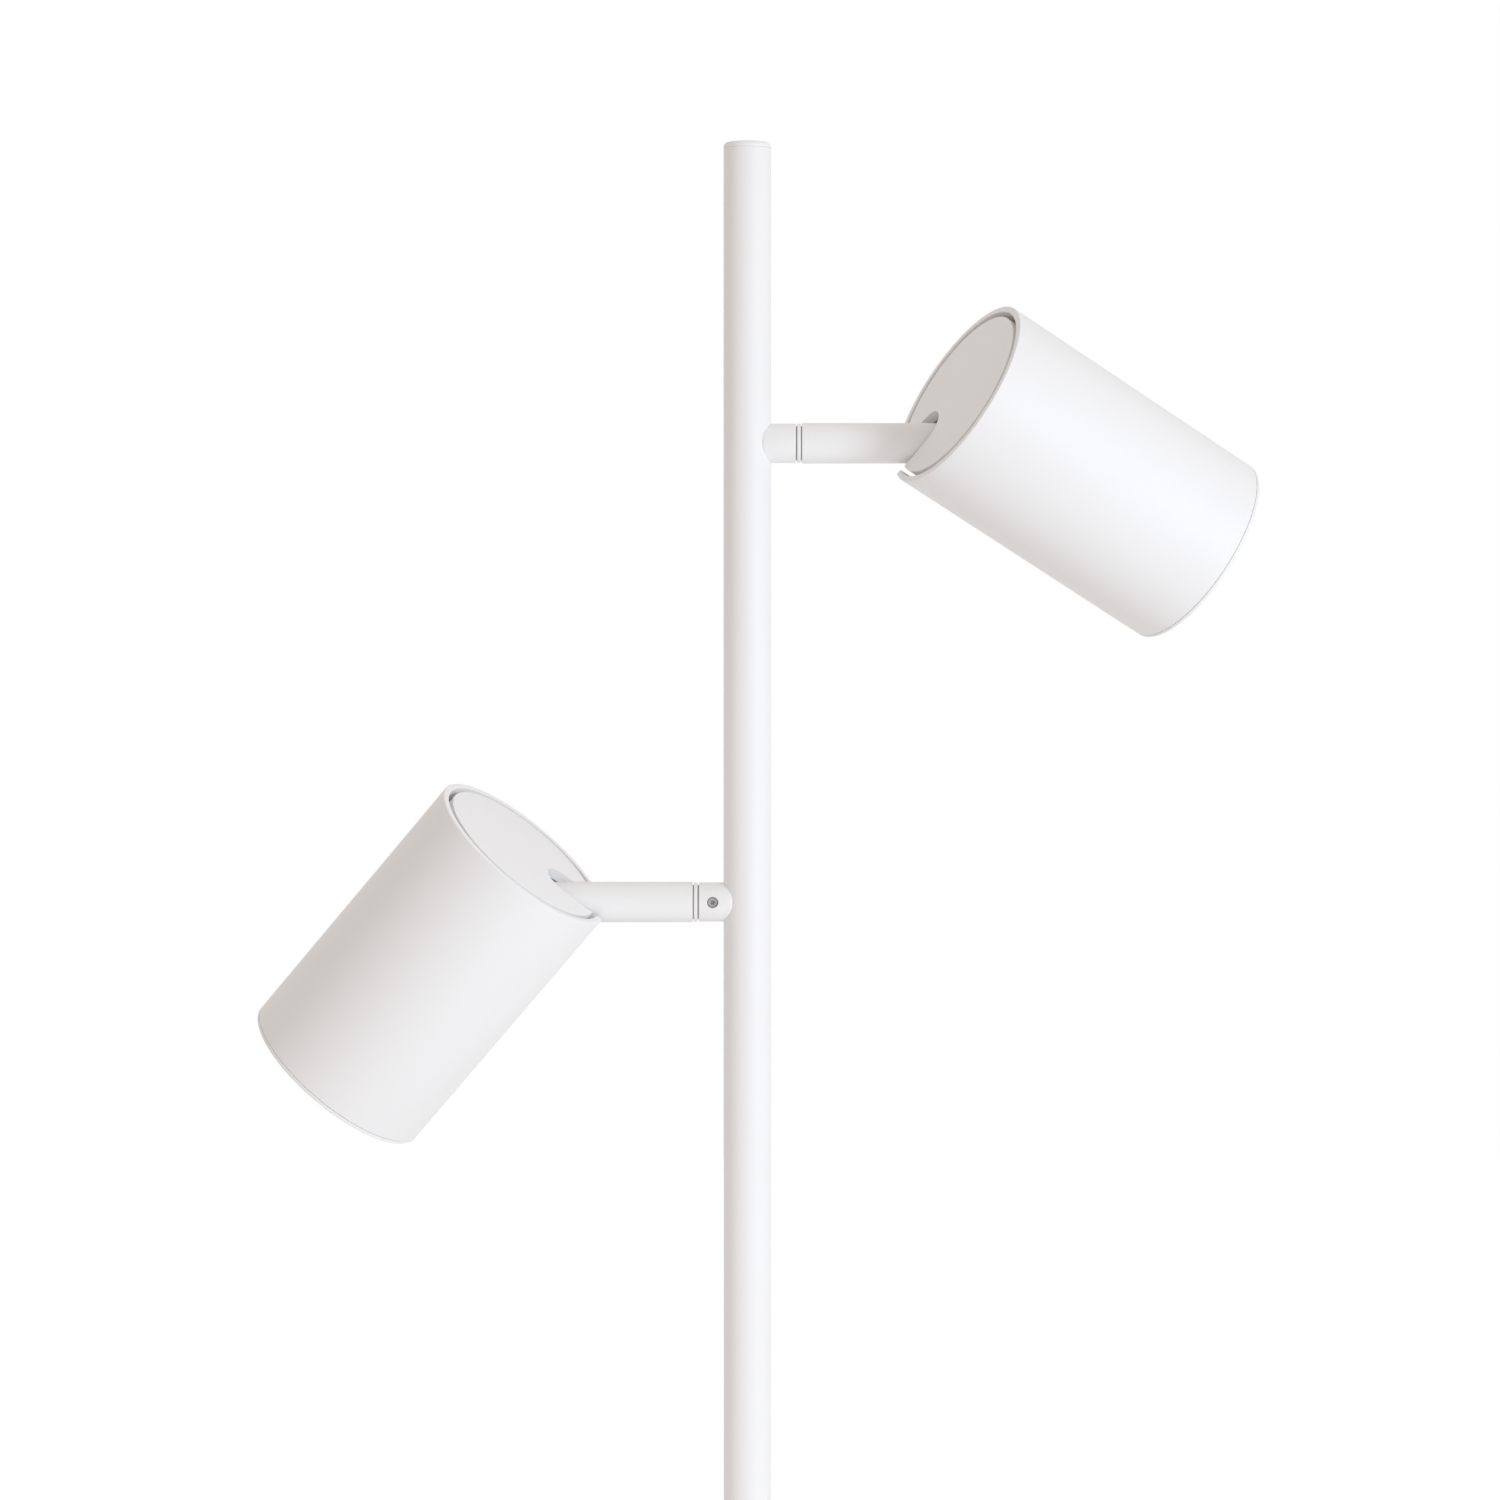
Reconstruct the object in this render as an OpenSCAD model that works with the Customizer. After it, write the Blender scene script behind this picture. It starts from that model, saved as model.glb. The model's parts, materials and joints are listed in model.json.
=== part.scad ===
// Floor lamp with two adjustable spots on a slim round pole.
// Origin: centre of the foot pad's underside, on the floor. +Z is up.
// +X is the side of the upper arm, and the heads point down and towards +Y.

/* [Base] */
// Diameter of the base cover
base_d = 220; // [180:5:300]
// Height from the floor to the top of the cover
base_h = 22; // [21:0.5:30]
// Wall of the pressed cover
cover_t = 1.5; // [1:0.1:2]
// Radius of the cover's top edge
cover_edge_r = 4; // [2:0.5:6]
// Height of the cover's lower edge above the floor
cover_lift = 1; // [0.5:0.1:1.5]
// Thickness of the foam foot pad
pad_t = 2; // [1.8:0.1:3]
// How far the pad's edge lies inside the cover's wall
pad_inset = 5; // [2:0.5:15]
// Thickness of the bottom plate
plate_t = 1.2; // [1:0.1:2]
// Chamfer of the weight's top edge
weight_chamfer = 2; // [1.5:0.1:3]
// Side of the recess for the base nut, as a radius
recess_r = 16; // [12:0.5:20]
// Height of the thin nut under the weight
nut_h = 4; // [3:0.5:5]
// Across-flats size of the nut
nut_flats = 17; // [15:0.5:20]
// Thickness of the washer over the nut
washer_t = 1.2; // [0.8:0.1:1.5]
// Radius of the washer over the nut
washer_r = 11; // [9.5:0.5:11.5]
// How far the base stud stands out below its nut
stud_tail = 0.6; // [0.2:0.1:1]
// Radius of the circle of plate screws
plate_screw_pcd_r = 75; // [70:1:80]
// Radius of the access holes in the foot pad
pad_hole_r = 6; // [5:0.5:8]

/* [Cord inlet] */
// Height of the inlet's axis above the floor
gland_z = 10.5; // [10:0.1:11.5]
// Bore of the inlet bush, as a radius
gland_bore_r = 3.4; // [2.5:0.1:3.8]
// Radius of the bush's body
gland_r = 5; // [4.6:0.1:5.5]
// Radius of the bush's outer flange
gland_flange_r = 6.8; // [6:0.1:7.5]
// Thickness of that flange
gland_flange_t = 1.6; // [1:0.1:3]
// Length of the body behind the flange
gland_body_len = 10; // [6:0.5:14]

/* [Terminal block] */
// Width across the lamp's X axis
block_w = 18; // [14:1:24]
// Length along Y
block_len = 16; // [12:1:20]
// Height above the bottom plate
block_h = 10; // [8.5:0.5:11]
// Distance from the pole's axis to the block
block_y = 26; // [22:1:34]
// Side distance of the clamp screws from the block's middle
clamp_x = 4.8; // [4:0.1:5.2]
// Room between the block and its pocket
pocket_room = 3; // [2:0.5:6]

/* [Pole] */
// Outer diameter of the pole
pole_d = 16; // [15.6:0.1:18]
// Wall of the pole
pole_wall = 1.2; // [1:0.1:1.4]
// Length of the lower tube
lower_len = 490; // [400:5:600]
// Length of the middle tube
middle_len = 490; // [400:5:600]
// Length of the upper tube
upper_len = 496; // [400:1:600]
// Height of the cap that shows above the upper tube
cap_h = 2; // [1.8:0.1:4]
// Radius of the cap's top edge
cap_edge_r = 1.5; // [0.5:0.1:1.7]
// Length of the cap's plug inside the tube
cap_plug_len = 10; // [6:1:20]
// Length of a threaded insert in a tube's end
insert_len = 16; // [12:1:24]
// Diameter of the hollow threaded studs
stud_d = 10; // [9:0.1:10.5]
// Bore of the hollow studs, as a radius
stud_bore_r = 3.5; // [3.1:0.1:3.8]
// How far a stud reaches into each insert
stud_grip = 13; // [8:1:15]

/* [Arms] */
// Drop from the top of the lamp to the upper arm's axis
upper_drop = 101.3; // [80:0.1:150]
// Distance between the two arms' axes
arm_spacing = 154.5; // [100:0.5:220]
// Diameter of the knuckle on the pole
knuckle_d = 13.2; // [12.8:0.1:13.4]
// Radius of the knuckle's rounded nose
knuckle_nose_r = 1.4; // [0.5:0.1:1.5]
// Distance from the pole's axis to the knuckle's outer face
knuckle_reach = 16.3; // [16:0.1:18]
// Distance from the pole's axis to the grub screw
grub_reach = 11.7; // [11.6:0.1:12.2]
// Thread diameter of the grub screw
grub_d = 3.6; // [3:0.1:4]
// Diameter of the grub screw's dog point
dog_d = 1.6; // [1.4:0.1:1.8]
// Diameter of the hollow stud that holds the knuckle
anchor_stud_d = 8; // [7.6:0.1:8.4]
// Bore of that stud and of the swivel spigot, as a radius
arm_bore_r = 2.2; // [1.8:0.1:2.3]
// Distance from the pole's axis to the anchor block's flat face
anchor_face = 3.8; // [3.6:0.1:4.2]
// Width and height of the anchor block
anchor_size = [9.6, 16];
// How far the anchor stud reaches past the pole's surface
anchor_grip = 1.6; // [1.2:0.1:1.8]
// Length of the swivel ring
ring_w = 1.2; // [0.8:0.1:2]
// Thickness of the friction washers beside the ring
friction_t = 0.4; // [0.3:0.1:0.8]
// Depth of the two grooves beside the ring
groove_depth = 0.8; // [0.5:0.1:1.2]
// Diameter of the arm tube
arm_d = 13.6; // [13.2:0.1:14]
// Wall of the arm tube
arm_wall = 1.2; // [1:0.1:1.4]
// Length of the spigot's plug inside the arm tube
plug_len = 9; // [6:0.5:14]
// Distance from the pole's axis to the tilt pivot
pivot_reach = 66.5; // [60:0.5:90]
// Length of the solid nose of the arm, measured back from the pivot
nose_len = 14; // [10:0.5:18]
// Half thickness of the flat tongue at the pivot
tongue_half = 5.2; // [4.8:0.1:5.4]
// Length of the tongue behind the pivot
tongue_len = 5.5; // [5.3:0.1:6.5]
// Thread diameter of the two tilt screws
tilt_screw_d = 3; // [2.5:0.1:3.2]
// Thickness of the tilt washers
tilt_washer_t = 0.7; // [0.5:0.1:0.8]
// Half angle of the swivel, to each side of straight down
swivel_half = 155; // [90:5:155]

/* [Pose] */
// Tilt of the upper head away from the arm's line
upper_tilt = 36.5; // [0:0.5:90]
// Swivel of the upper arm from straight down
upper_roll = 33; // [-150:1:150]
// Tilt of the lower head away from the arm's line
lower_tilt = 51; // [0:0.5:90]
// Swivel of the lower arm from straight down
lower_roll = -19; // [-150:1:150]

/* [Heads] */
// Outer diameter of a head
head_d = 68.6; // [66:0.2:76]
// Overall length of a head, with its front ring
head_len = 103; // [98:1:130]
// Wall of the shell
head_wall = 2.2; // [1.5:0.1:2.4]
// Rounding of the shell's rear rim
rim_r = 0.5; // [0.3:0.1:1]
// Air gap between the shell and the rear cap
cap_gap = 1.8; // [1:0.1:2]
// How deep the rear cap lies below the shell's rim
cap_recess = 0.1; // [0.1:0.1:0.7]
// Thickness of the rear cap's disc
cap_t = 3.4; // [2.9:0.1:3.4]
// Thickness of the rear cap's skirt
skirt_t = 1.5; // [1:0.1:2]
// Length of that skirt, measured from the shell's rim
skirt_end = 14; // [10:0.5:16]
// Distance of the pivot from the head's axis
pivot_offset = 17.5; // [17:0.1:18]
// Depth of the pivot below the shell's rim
pivot_depth = 8.5; // [8.5:0.1:9]
// Room between the arm and the slot that it moves in
slot_gap = 0.7; // [0.5:0.1:1]
// Depth of the shell's inner flange below the rim
flange_z = 20; // [19:0.5:21]
// Thickness of the inner flange
flange_t = 2; // [1.5:0.1:2.5]
// Inner radius of the inner flange
flange_r = 21; // [20:0.5:22]
// Radius of the circle of the cap's three bosses
boss_pcd_r = 25; // [24.5:0.1:25.2]
// Radius of a boss
boss_r = 3.5; // [3.2:0.1:3.6]
// Width of the front ring's visible edge
ring_edge = 1.2; // [0.8:0.1:2]
// Gap between the shell and the front ring's edge
ring_line = 0.15; // [0.05:0.05:0.3]
// Inner radius of the front ring
ring_inner_r = 27; // [26:0.5:29]
// Wall of the front ring's skirt
ring_skirt_t = 1.4; // [1:0.1:2]
// Length of the front ring's skirt
ring_skirt_len = 10; // [6:0.5:14]

/* [Tilt bracket] */
// Thickness of the folded steel strip
strip_t = 1.5; // [1.2:0.1:1.5]
// Half width of the bracket across the head
bracket_half = 14; // [13:0.5:15]
// Half width of the bracket's legs
leg_half = 6; // [5:0.5:7]
// Radius of a bracket ear round the pivot
ear_r = 4.7; // [4.4:0.1:4.8]
// Height of the holder strap above the bracket's plate
strap_rise = 19; // [18.5:0.5:20]

/* [Lampholder and lamp] */
// Radius of the ceramic lampholder
holder_r = 13.5; // [13:0.5:15]
// Length of the lampholder
holder_len = 16; // [15:0.5:18]
// Half distance of the lamp's two pins
pin_r = 5; // [4.8:0.1:5.2]
// Twist that locks the lamp
lock_twist = 20; // [10:1:25]
// Radius of a pin's neck
pin_neck_r = 1.4; // [1.2:0.1:1.5]
// Radius of a pin's head
pin_head_r = 2.4; // [2.2:0.1:2.5]
// Largest diameter of the lamp
bulb_d = 50; // [48:0.5:50.5]
// Length of the lamp without its pins
bulb_len = 50; // [46:0.5:54]
// Radius of the lamp's neck
bulb_neck_r = 11.5; // [10:0.5:12.5]
// Length of the lamp's neck
bulb_neck_len = 12; // [8:0.5:14]

/* [Leads and fits] */
// Radius of the two-core leads
lead_r = 1.3; // [1:0.05:1.35]
// Bend radius of a lead's centre line in the base and in the heads
lead_bend = 4; // [3.6:0.1:4]
// Bend radius where a lead leaves the pole
knuckle_bend = 3.5; // [3.4:0.1:3.6]
// Height of the leads above the bottom plate
lead_lift = 3; // [2:0.1:3]
// Sideways place of the leads inside the pole
lead_offset = 1.65; // [1.6:0.05:1.7]
// Radial gap of parts that are pushed or screwed together
seat_gap = 0.05; // [0.02:0.01:0.1]
// Radial or axial gap of parts that turn on each other
run_gap = 0.06; // [0.04:0.01:0.1]
// Gap between the ends of two parts that move past each other
end_gap = 0.3; // [0.2:0.05:0.4]

/* [Hidden] */
$fn = 64;

// Sides of the lamp, as used by every module that is made twice
UPPER = 1;
LOWER = -1;
// Overlap that keeps a cut from ending on a face
eps = 0.5;

// Colours
WHITE = [0.95, 0.95, 0.94];
CAST = [0.25, 0.25, 0.27];
STEEL = [0.72, 0.73, 0.75];
BRIGHT = [0.85, 0.85, 0.87];
BRASS = [0.80, 0.66, 0.35];
DARK = [0.12, 0.12, 0.13];
NYLON = [0.88, 0.87, 0.82];
CERAMIC = [0.93, 0.91, 0.86];
LENS = [0.86, 0.90, 0.93];

// Base levels, from the floor up
plate_top = pad_t + plate_t;
cover_r = base_d / 2;
cover_inner_r = cover_r - cover_t;
weight_r = cover_inner_r - 1.5;
weight_top = base_h - cover_t;
lead_z = plate_top + lead_lift;
stud_r = stud_d / 2;
base_stud_z = lead_z + lead_bend;
nut_z = base_stud_z + stud_tail;
washer_z = nut_z + nut_h;
recess_top = washer_z + washer_t;
pocket_top = plate_top + block_h + 1;
pocket_end = block_y + block_len + pocket_room;
channel_half = gland_flange_r + 0.4;
channel_top = gland_z + gland_r + 1;

// Small screws: M3, used in the base, the heads and the terminal block
screw_r = 1.5;
screw_hole_r = screw_r + 0.2;
screw_head_r = 2.75;
screw_head_h = 1.6;
plate_screw_len = 7;
block_screw_y = block_y + block_len - 4;
clamp_screw_r = 1.4;
clamp_rows = [block_y + 5, block_y + 11];
window_half = lead_offset + lead_r + 1;
window_depth = 2.5;

// Pole levels
pole_r = pole_d / 2;
pole_bore_r = pole_r - pole_wall;
insert_r = pole_bore_r - seat_gap;
insert_bore_r = stud_r + seat_gap;
seam_low = base_h + lower_len;
seam_high = seam_low + middle_len;
tube_top = seam_high + upper_len;
lamp_top = tube_top + cap_h;

// Arm stations, measured along the arm from the pole's axis
knuckle_r = knuckle_d / 2;
anchor_stud_r = anchor_stud_d / 2;
knuckle_bore_r = anchor_stud_r + run_gap;
anchor_stud_end = pole_r + anchor_grip;
spigot_start = anchor_stud_end + end_gap;
washer_1 = knuckle_reach + run_gap;
ring_start = washer_1 + friction_t;
washer_2 = ring_start + ring_w;
arm_start = washer_2 + friction_t;
arm_r = arm_d / 2;
arm_inner_r = arm_r - arm_wall;
lead_turn = lead_offset + knuckle_bend;
tilt_r = tilt_screw_d / 2;
slot_half = arm_r + slot_gap;

// Swivel groove: the grub screw's point runs in it, and its two ends are the stops
dog_r = dog_d / 2;
spigot_core_r = anchor_stud_r - 0.9;
dog_angle = asin(dog_r / spigot_core_r);
groove_half = swivel_half + dog_angle + 3;
groove_w = dog_d + 0.5;

// Tilt joint, across the head
ear_inner = tongue_half + tilt_washer_t + run_gap;
ear_outer = ear_inner + strip_t;
tilt_head_y = ear_outer + run_gap;
wire_slot_half = arm_bore_r + 2 * seat_gap;

// Head levels, measured along the head from the rear rim
head_r = head_d / 2;
shell_inner_r = head_r - head_wall;
cap_r = shell_inner_r - cap_gap;
disc_inner = cap_recess + cap_t;
plate_z = disc_inner + strip_t;
holder_z = plate_z + strap_rise;
holder_front = holder_z + holder_len;
shell_end = head_len - ring_edge - ring_line;
ring_skirt_r = shell_inner_r - seat_gap;
BOSS_ANGLES = [60, 180, 300];
bracket_screw = [-8.5, 9.5];
holder_screw_y = 9;
strap_hole_r = 3.5;
leg_x = 2;

// Lamp levels, measured like the head's
face_t = 2;
bulb_z = holder_front + end_gap;
bulb_front = bulb_z + bulb_len;
bulb_r = bulb_d / 2;
lens_r = bulb_r - 2.5;
lens_t = 2.5;
rim_len = 11;
pin_head_len = 2.6;
pin_neck_len = 2.4;
cavity_h = 4.5;

function arm_z(side) = lamp_top - upper_drop - (side == UPPER ? 0 : arm_spacing);
function roll(side) = side == UPPER ? upper_roll : lower_roll;
function tilt(side) = side == UPPER ? upper_tilt : lower_tilt;

// ---- Places ----

// +X runs along the arm, away from the pole
module at_arm(side) {
    translate([0, 0, arm_z(side)]) rotate([0, 0, side == UPPER ? 0 : 180]) children();
}

// +Z runs along the arm and +X points down: the knuckle, which doesn't turn
module on_knuckle(side) {
    at_arm(side) rotate([0, 90, 0]) children();
}

// The same, turned with the swivel: the arm
module on_arm(side) {
    at_arm(side) rotate([roll(side), 0, 0]) rotate([0, 90, 0]) children();
}

// +Z runs along the head, from its rear rim to its front, and +X points at the slot
module in_head(side) {
    on_arm(side) translate([0, 0, pivot_reach]) rotate([0, tilt(side), 0])
        translate([-pivot_offset, 0, -pivot_depth]) children();
}

// ---- Shapes ----

module ring(r_out, r_in, h) {
    difference() {
        cylinder(r = r_out, h = h);
        translate([0, 0, -eps]) cylinder(r = r_in, h = h + 2 * eps);
    }
}

// Half section of a disc with one rounded top edge
module round_edge_2d(r, h, edge) {
    square([r - edge, h]);
    square([r, h - edge]);
    translate([r - edge, h - edge]) intersection() {
        circle(r = edge);
        square(edge);
    }
}

// Pan-head screw: the shank points along +Z and the head lies below z = 0
module screw(len) {
    difference() {
        union() {
            cylinder(r = screw_r, h = len);
            translate([0, 0, -screw_head_h]) cylinder(r = screw_head_r, h = screw_head_h);
        }
        translate([0, 0, -screw_head_h - eps]) cylinder(r = 1.2, h = 0.9 + eps, $fn = 6);
    }
}

// A quarter turn of lead: from +Y on the X axis to -X on the Y axis
module lead_quarter(bend_r) {
    rotate_extrude(angle = 90) translate([bend_r, 0]) circle(r = lead_r, $fn = 32);
}

module lead_run(len) {
    cylinder(r = lead_r, h = len, $fn = 32);
}

// Rounded slot that the arm moves in: its two ends are round about the pivot
module arm_slot() {
    translate([pivot_offset, 0, -eps]) cylinder(r = slot_half, h = pivot_depth + eps);
    translate([pivot_offset, -slot_half, -eps]) cube([head_r, 2 * slot_half, pivot_depth + eps]);
    translate([pivot_offset, 0, pivot_depth]) rotate([0, 90, 0]) cylinder(r = slot_half, h = head_r);
}

// ---- Base ----

module base_cover() {
    color(WHITE) difference() {
        translate([0, 0, cover_lift]) rotate_extrude()
            round_edge_2d(cover_r, base_h - cover_lift, cover_edge_r);
        translate([0, 0, cover_lift - eps]) rotate_extrude()
            round_edge_2d(cover_inner_r, weight_top - cover_lift + eps,
                max(cover_edge_r - cover_t, 0.5));
        cylinder(r = stud_r + seat_gap, h = base_h + eps);
        translate([0, cover_inner_r - eps, gland_z]) rotate([-90, 0, 0])
            cylinder(r = gland_r + seat_gap, h = cover_t + 2 * eps);
    }
}

module base_weight() {
    body_h = weight_top - plate_top;
    color(CAST) difference() {
        translate([0, 0, plate_top]) rotate_extrude() polygon([[0, 0], [weight_r, 0],
            [weight_r, body_h - weight_chamfer], [weight_r - weight_chamfer, body_h], [0, body_h]]);
        cylinder(r = stud_r + seat_gap, h = base_h);
        translate([0, 0, pad_t]) cylinder(r = recess_r, h = recess_top - pad_t);
        translate([-recess_r, 0, pad_t]) cube([2 * recess_r, pocket_end, pocket_top - pad_t]);
        translate([-channel_half, pocket_end - eps, pad_t])
            cube([2 * channel_half, weight_r, channel_top - pad_t]);
        at_plate_screws() cylinder(r = screw_r + seat_gap, h = plate_t + plate_screw_len + 1);
    }
}

module at_plate_screws() {
    for (a = [30, 150, 270])
        rotate([0, 0, a]) translate([plate_screw_pcd_r, 0, pad_t]) children();
}

module base_plate() {
    color(STEEL) difference() {
        translate([0, 0, pad_t]) cylinder(r = cover_inner_r - end_gap, h = plate_t);
        at_plate_screws() translate([0, 0, -eps]) cylinder(r = screw_hole_r, h = plate_t + 2 * eps);
        translate([0, block_screw_y, pad_t - eps]) cylinder(r = screw_hole_r, h = plate_t + 2 * eps);
    }
}

module base_pad() {
    color(DARK) difference() {
        cylinder(r = cover_inner_r - pad_inset, h = pad_t);
        at_plate_screws() translate([0, 0, -pad_t - eps]) cylinder(r = pad_hole_r, h = pad_t + 2 * eps);
        translate([0, block_screw_y, -eps]) cylinder(r = pad_hole_r, h = pad_t + 2 * eps);
    }
}

module base_screws() {
    color(BRIGHT) {
        at_plate_screws() screw(plate_screw_len);
        translate([0, block_screw_y, pad_t]) screw(plate_screw_len);
    }
}

module base_nut() {
    color(BRIGHT) translate([0, 0, nut_z]) difference() {
        cylinder(r = nut_flats / 2 / cos(30), h = nut_h, $fn = 6);
        translate([0, 0, -eps]) cylinder(r = stud_r + seat_gap, h = nut_h + 2 * eps);
    }
}

module base_washer() {
    color(BRIGHT) translate([0, 0, washer_z]) ring(washer_r, stud_r + seat_gap, washer_t);
}

module base_stud() {
    color(STEEL) translate([0, 0, base_stud_z]) ring(stud_r, stud_bore_r, base_h + stud_grip - base_stud_z);
}

module cord_gland() {
    color(DARK) translate([0, cover_r, gland_z]) rotate([-90, 0, 0]) difference() {
        union() {
            translate([0, 0, -gland_body_len]) cylinder(r = gland_r, h = gland_body_len);
            rotate_extrude() round_edge_2d(gland_flange_r, gland_flange_t, gland_flange_t / 2);
            // Barbs that hold the bush behind the cover's wall
            translate([0, 0, -cover_t - 1.6]) cylinder(r = gland_r + 0.6, h = 1);
        }
        translate([0, 0, -gland_body_len - eps])
            cylinder(r = gland_bore_r, h = gland_body_len + gland_flange_t + 2 * eps);
    }
}

module terminal_block() {
    color(NYLON) difference() {
        translate([-block_w / 2, block_y, plate_top]) cube([block_w, block_len, block_h]);
        translate([-window_half, block_y - eps, lead_z - lead_r - 0.4])
            cube([2 * window_half, window_depth + eps, 2 * lead_r + 0.8]);
        for (x = [-clamp_x, clamp_x]) {
            for (y = clamp_rows)
                translate([x, y, plate_top + 4]) cylinder(r = clamp_screw_r + seat_gap, h = block_h);
            translate([x, block_y + block_len - 3, lead_z]) rotate([-90, 0, 0]) cylinder(r = 1.4, h = 3 + eps);
        }
        translate([0, block_screw_y, pad_t])
            cylinder(r = screw_r + seat_gap, h = plate_screw_len + 1);
    }
}

module terminal_screws() {
    clamp_len = 4;
    color(BRASS) for (x = [-clamp_x, clamp_x], y = clamp_rows)
        translate([x, y, plate_top + 4]) difference() {
            cylinder(r = clamp_screw_r, h = clamp_len);
            translate([-clamp_screw_r, -0.25, clamp_len - 0.8]) cube([2 * clamp_screw_r, 0.5, 1]);
        }
}

// ---- Pole ----

module pole_tube(z, len) {
    translate([0, 0, z]) ring(pole_r, pole_bore_r, len);
}

module pole_lower() {
    color(WHITE) pole_tube(base_h, lower_len);
}

module pole_middle() {
    color(WHITE) pole_tube(seam_low, middle_len);
}

module pole_upper() {
    color(WHITE) difference() {
        pole_tube(seam_high, upper_len);
        for (side = [UPPER, LOWER])
            on_knuckle(side) cylinder(r = anchor_stud_r + seat_gap, h = pole_d);
    }
}

// Threaded inserts, just below the tube ends: one at the foot and two at each seam
module pole_inserts() {
    color(STEEL) for (z = [base_h, seam_low, seam_high]) {
        translate([0, 0, z + end_gap]) ring(insert_r, insert_bore_r, insert_len);
        if (z > base_h)
            translate([0, 0, z - end_gap - insert_len]) ring(insert_r, insert_bore_r, insert_len);
    }
}

module coupling_studs() {
    color(STEEL) for (z = [seam_low, seam_high])
        translate([0, 0, z - stud_grip]) ring(stud_r, stud_bore_r, 2 * stud_grip);
}

module pole_cap() {
    color(WHITE) translate([0, 0, tube_top]) {
        rotate_extrude() round_edge_2d(pole_r, cap_h, cap_edge_r);
        translate([0, 0, -cap_plug_len]) ring(pole_bore_r - seat_gap, pole_bore_r - 1.6, cap_plug_len);
    }
}

// Threaded blocks that fill the arm's side of the pole's bore and leave the leads their room
module pole_anchors() {
    color(STEEL) for (side = [UPPER, LOWER]) difference() {
        intersection() {
            at_arm(side) translate([0, 0, -anchor_size[1] / 2])
                cylinder(r = pole_bore_r - seat_gap, h = anchor_size[1]);
            at_arm(side) translate([anchor_face, -anchor_size[0] / 2, -anchor_size[1] / 2])
                cube([pole_r, anchor_size[0], anchor_size[1]]);
        }
        on_knuckle(side) cylinder(r = anchor_stud_r + seat_gap, h = pole_r);
    }
}

module anchor_studs() {
    color(STEEL) for (side = [UPPER, LOWER]) on_knuckle(side) translate([0, 0, anchor_face])
        ring(anchor_stud_r, arm_bore_r, anchor_stud_end - anchor_face);
}

// From the terminal block along the base, up the pole, and out through the anchor stud
module pole_lead(side) {
    rise_z = lead_z + lead_bend;
    color(DARK) union() {
        translate([side * lead_offset, lead_bend, lead_z]) rotate([-90, 0, 0])
            lead_run(block_y + window_depth - lead_bend);
        translate([side * lead_offset, lead_bend, rise_z]) rotate([90, 0, 90]) rotate([0, 0, 180])
            lead_quarter(lead_bend);
        translate([side * lead_offset, 0, rise_z]) lead_run(arm_z(side) - knuckle_bend - rise_z);
        at_arm(side) translate([lead_turn, 0, -knuckle_bend]) rotate([90, 0, 0]) rotate([0, 0, 90])
            lead_quarter(knuckle_bend);
        on_knuckle(side) translate([0, 0, lead_turn]) lead_run(anchor_stud_end - lead_turn);
    }
}

// ---- Knuckles ----

// Turned boss with a saddle that fits the pole, and a bore for the stud and the swivel spigot
module knuckle(side) {
    color(WHITE) difference() {
        on_knuckle(side) union() {
            nose_z = knuckle_nose_z();
            translate([0, 0, nose_z + knuckle_nose_r])
                cylinder(r = knuckle_r, h = knuckle_reach - nose_z - knuckle_nose_r);
            translate([0, 0, nose_z + knuckle_nose_r]) rotate([180, 0, 0]) rotate_extrude()
                round_edge_2d(knuckle_r, knuckle_nose_r, knuckle_nose_r - 0.01);
        }
        translate([0, 0, arm_z(side) - knuckle_d]) cylinder(r = pole_r + seat_gap, h = 2 * knuckle_d);
        on_knuckle(side) cylinder(r = knuckle_bore_r, h = knuckle_reach + eps);
        on_knuckle(side) translate([0, 0, grub_reach]) rotate([-90, 0, 0]) {
            cylinder(r = grub_d / 2 + seat_gap, h = knuckle_r + eps);
            translate([0, 0, knuckle_r - 0.35]) cylinder(r1 = grub_d / 2 + seat_gap, r2 = grub_d / 2 + 0.9, h = 0.8);
        }
    }
}

// Where the nose starts: where the knuckle's own radius meets the pole's surface
function knuckle_nose_z() = sqrt(pole_r * pole_r - knuckle_r * knuckle_r);

// Socket screws whose dog points run in the spigots' grooves
module grub_screws() {
    thread_end = knuckle_bore_r + 0.2;
    face = knuckle_r - 0.5;
    color(BRIGHT) for (side = [UPPER, LOWER])
        on_knuckle(side) translate([0, 0, grub_reach]) rotate([-90, 0, 0]) difference() {
            union() {
                translate([0, 0, thread_end]) cylinder(r = grub_d / 2, h = face - thread_end);
                translate([0, 0, spigot_core_r + end_gap]) cylinder(r = dog_r, h = 1.5);
            }
            translate([0, 0, face - 1.1]) cylinder(r = 1, h = 1.1 + eps, $fn = 6);
        }
}

// ---- Arms ----

module swivel_spigot(side) {
    color(STEEL) on_arm(side) difference() {
        union() {
            translate([0, 0, spigot_start]) cylinder(r = anchor_stud_r, h = arm_start - spigot_start);
            translate([0, 0, arm_start]) cylinder(r = arm_inner_r - seat_gap, h = plug_len);
        }
        cylinder(r = arm_bore_r, h = arm_start + plug_len + eps);
        // The groove's land lies opposite the grub screw when the arm's slot points down
        translate([0, 0, grub_reach - groove_w / 2]) rotate([0, 0, 90 - groove_half])
            rotate_extrude(angle = 2 * groove_half) translate([spigot_core_r, 0]) square([2, groove_w]);
    }
}

module swivel_washers(side) {
    color(NYLON) on_arm(side) for (z = [washer_1, washer_2])
        translate([0, 0, z]) ring(knuckle_r - groove_depth, anchor_stud_r + seat_gap, friction_t);
}

module swivel_ring(side) {
    color(WHITE) on_arm(side) translate([0, 0, ring_start])
        ring(knuckle_r, anchor_stud_r + seat_gap, ring_w);
}

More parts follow.
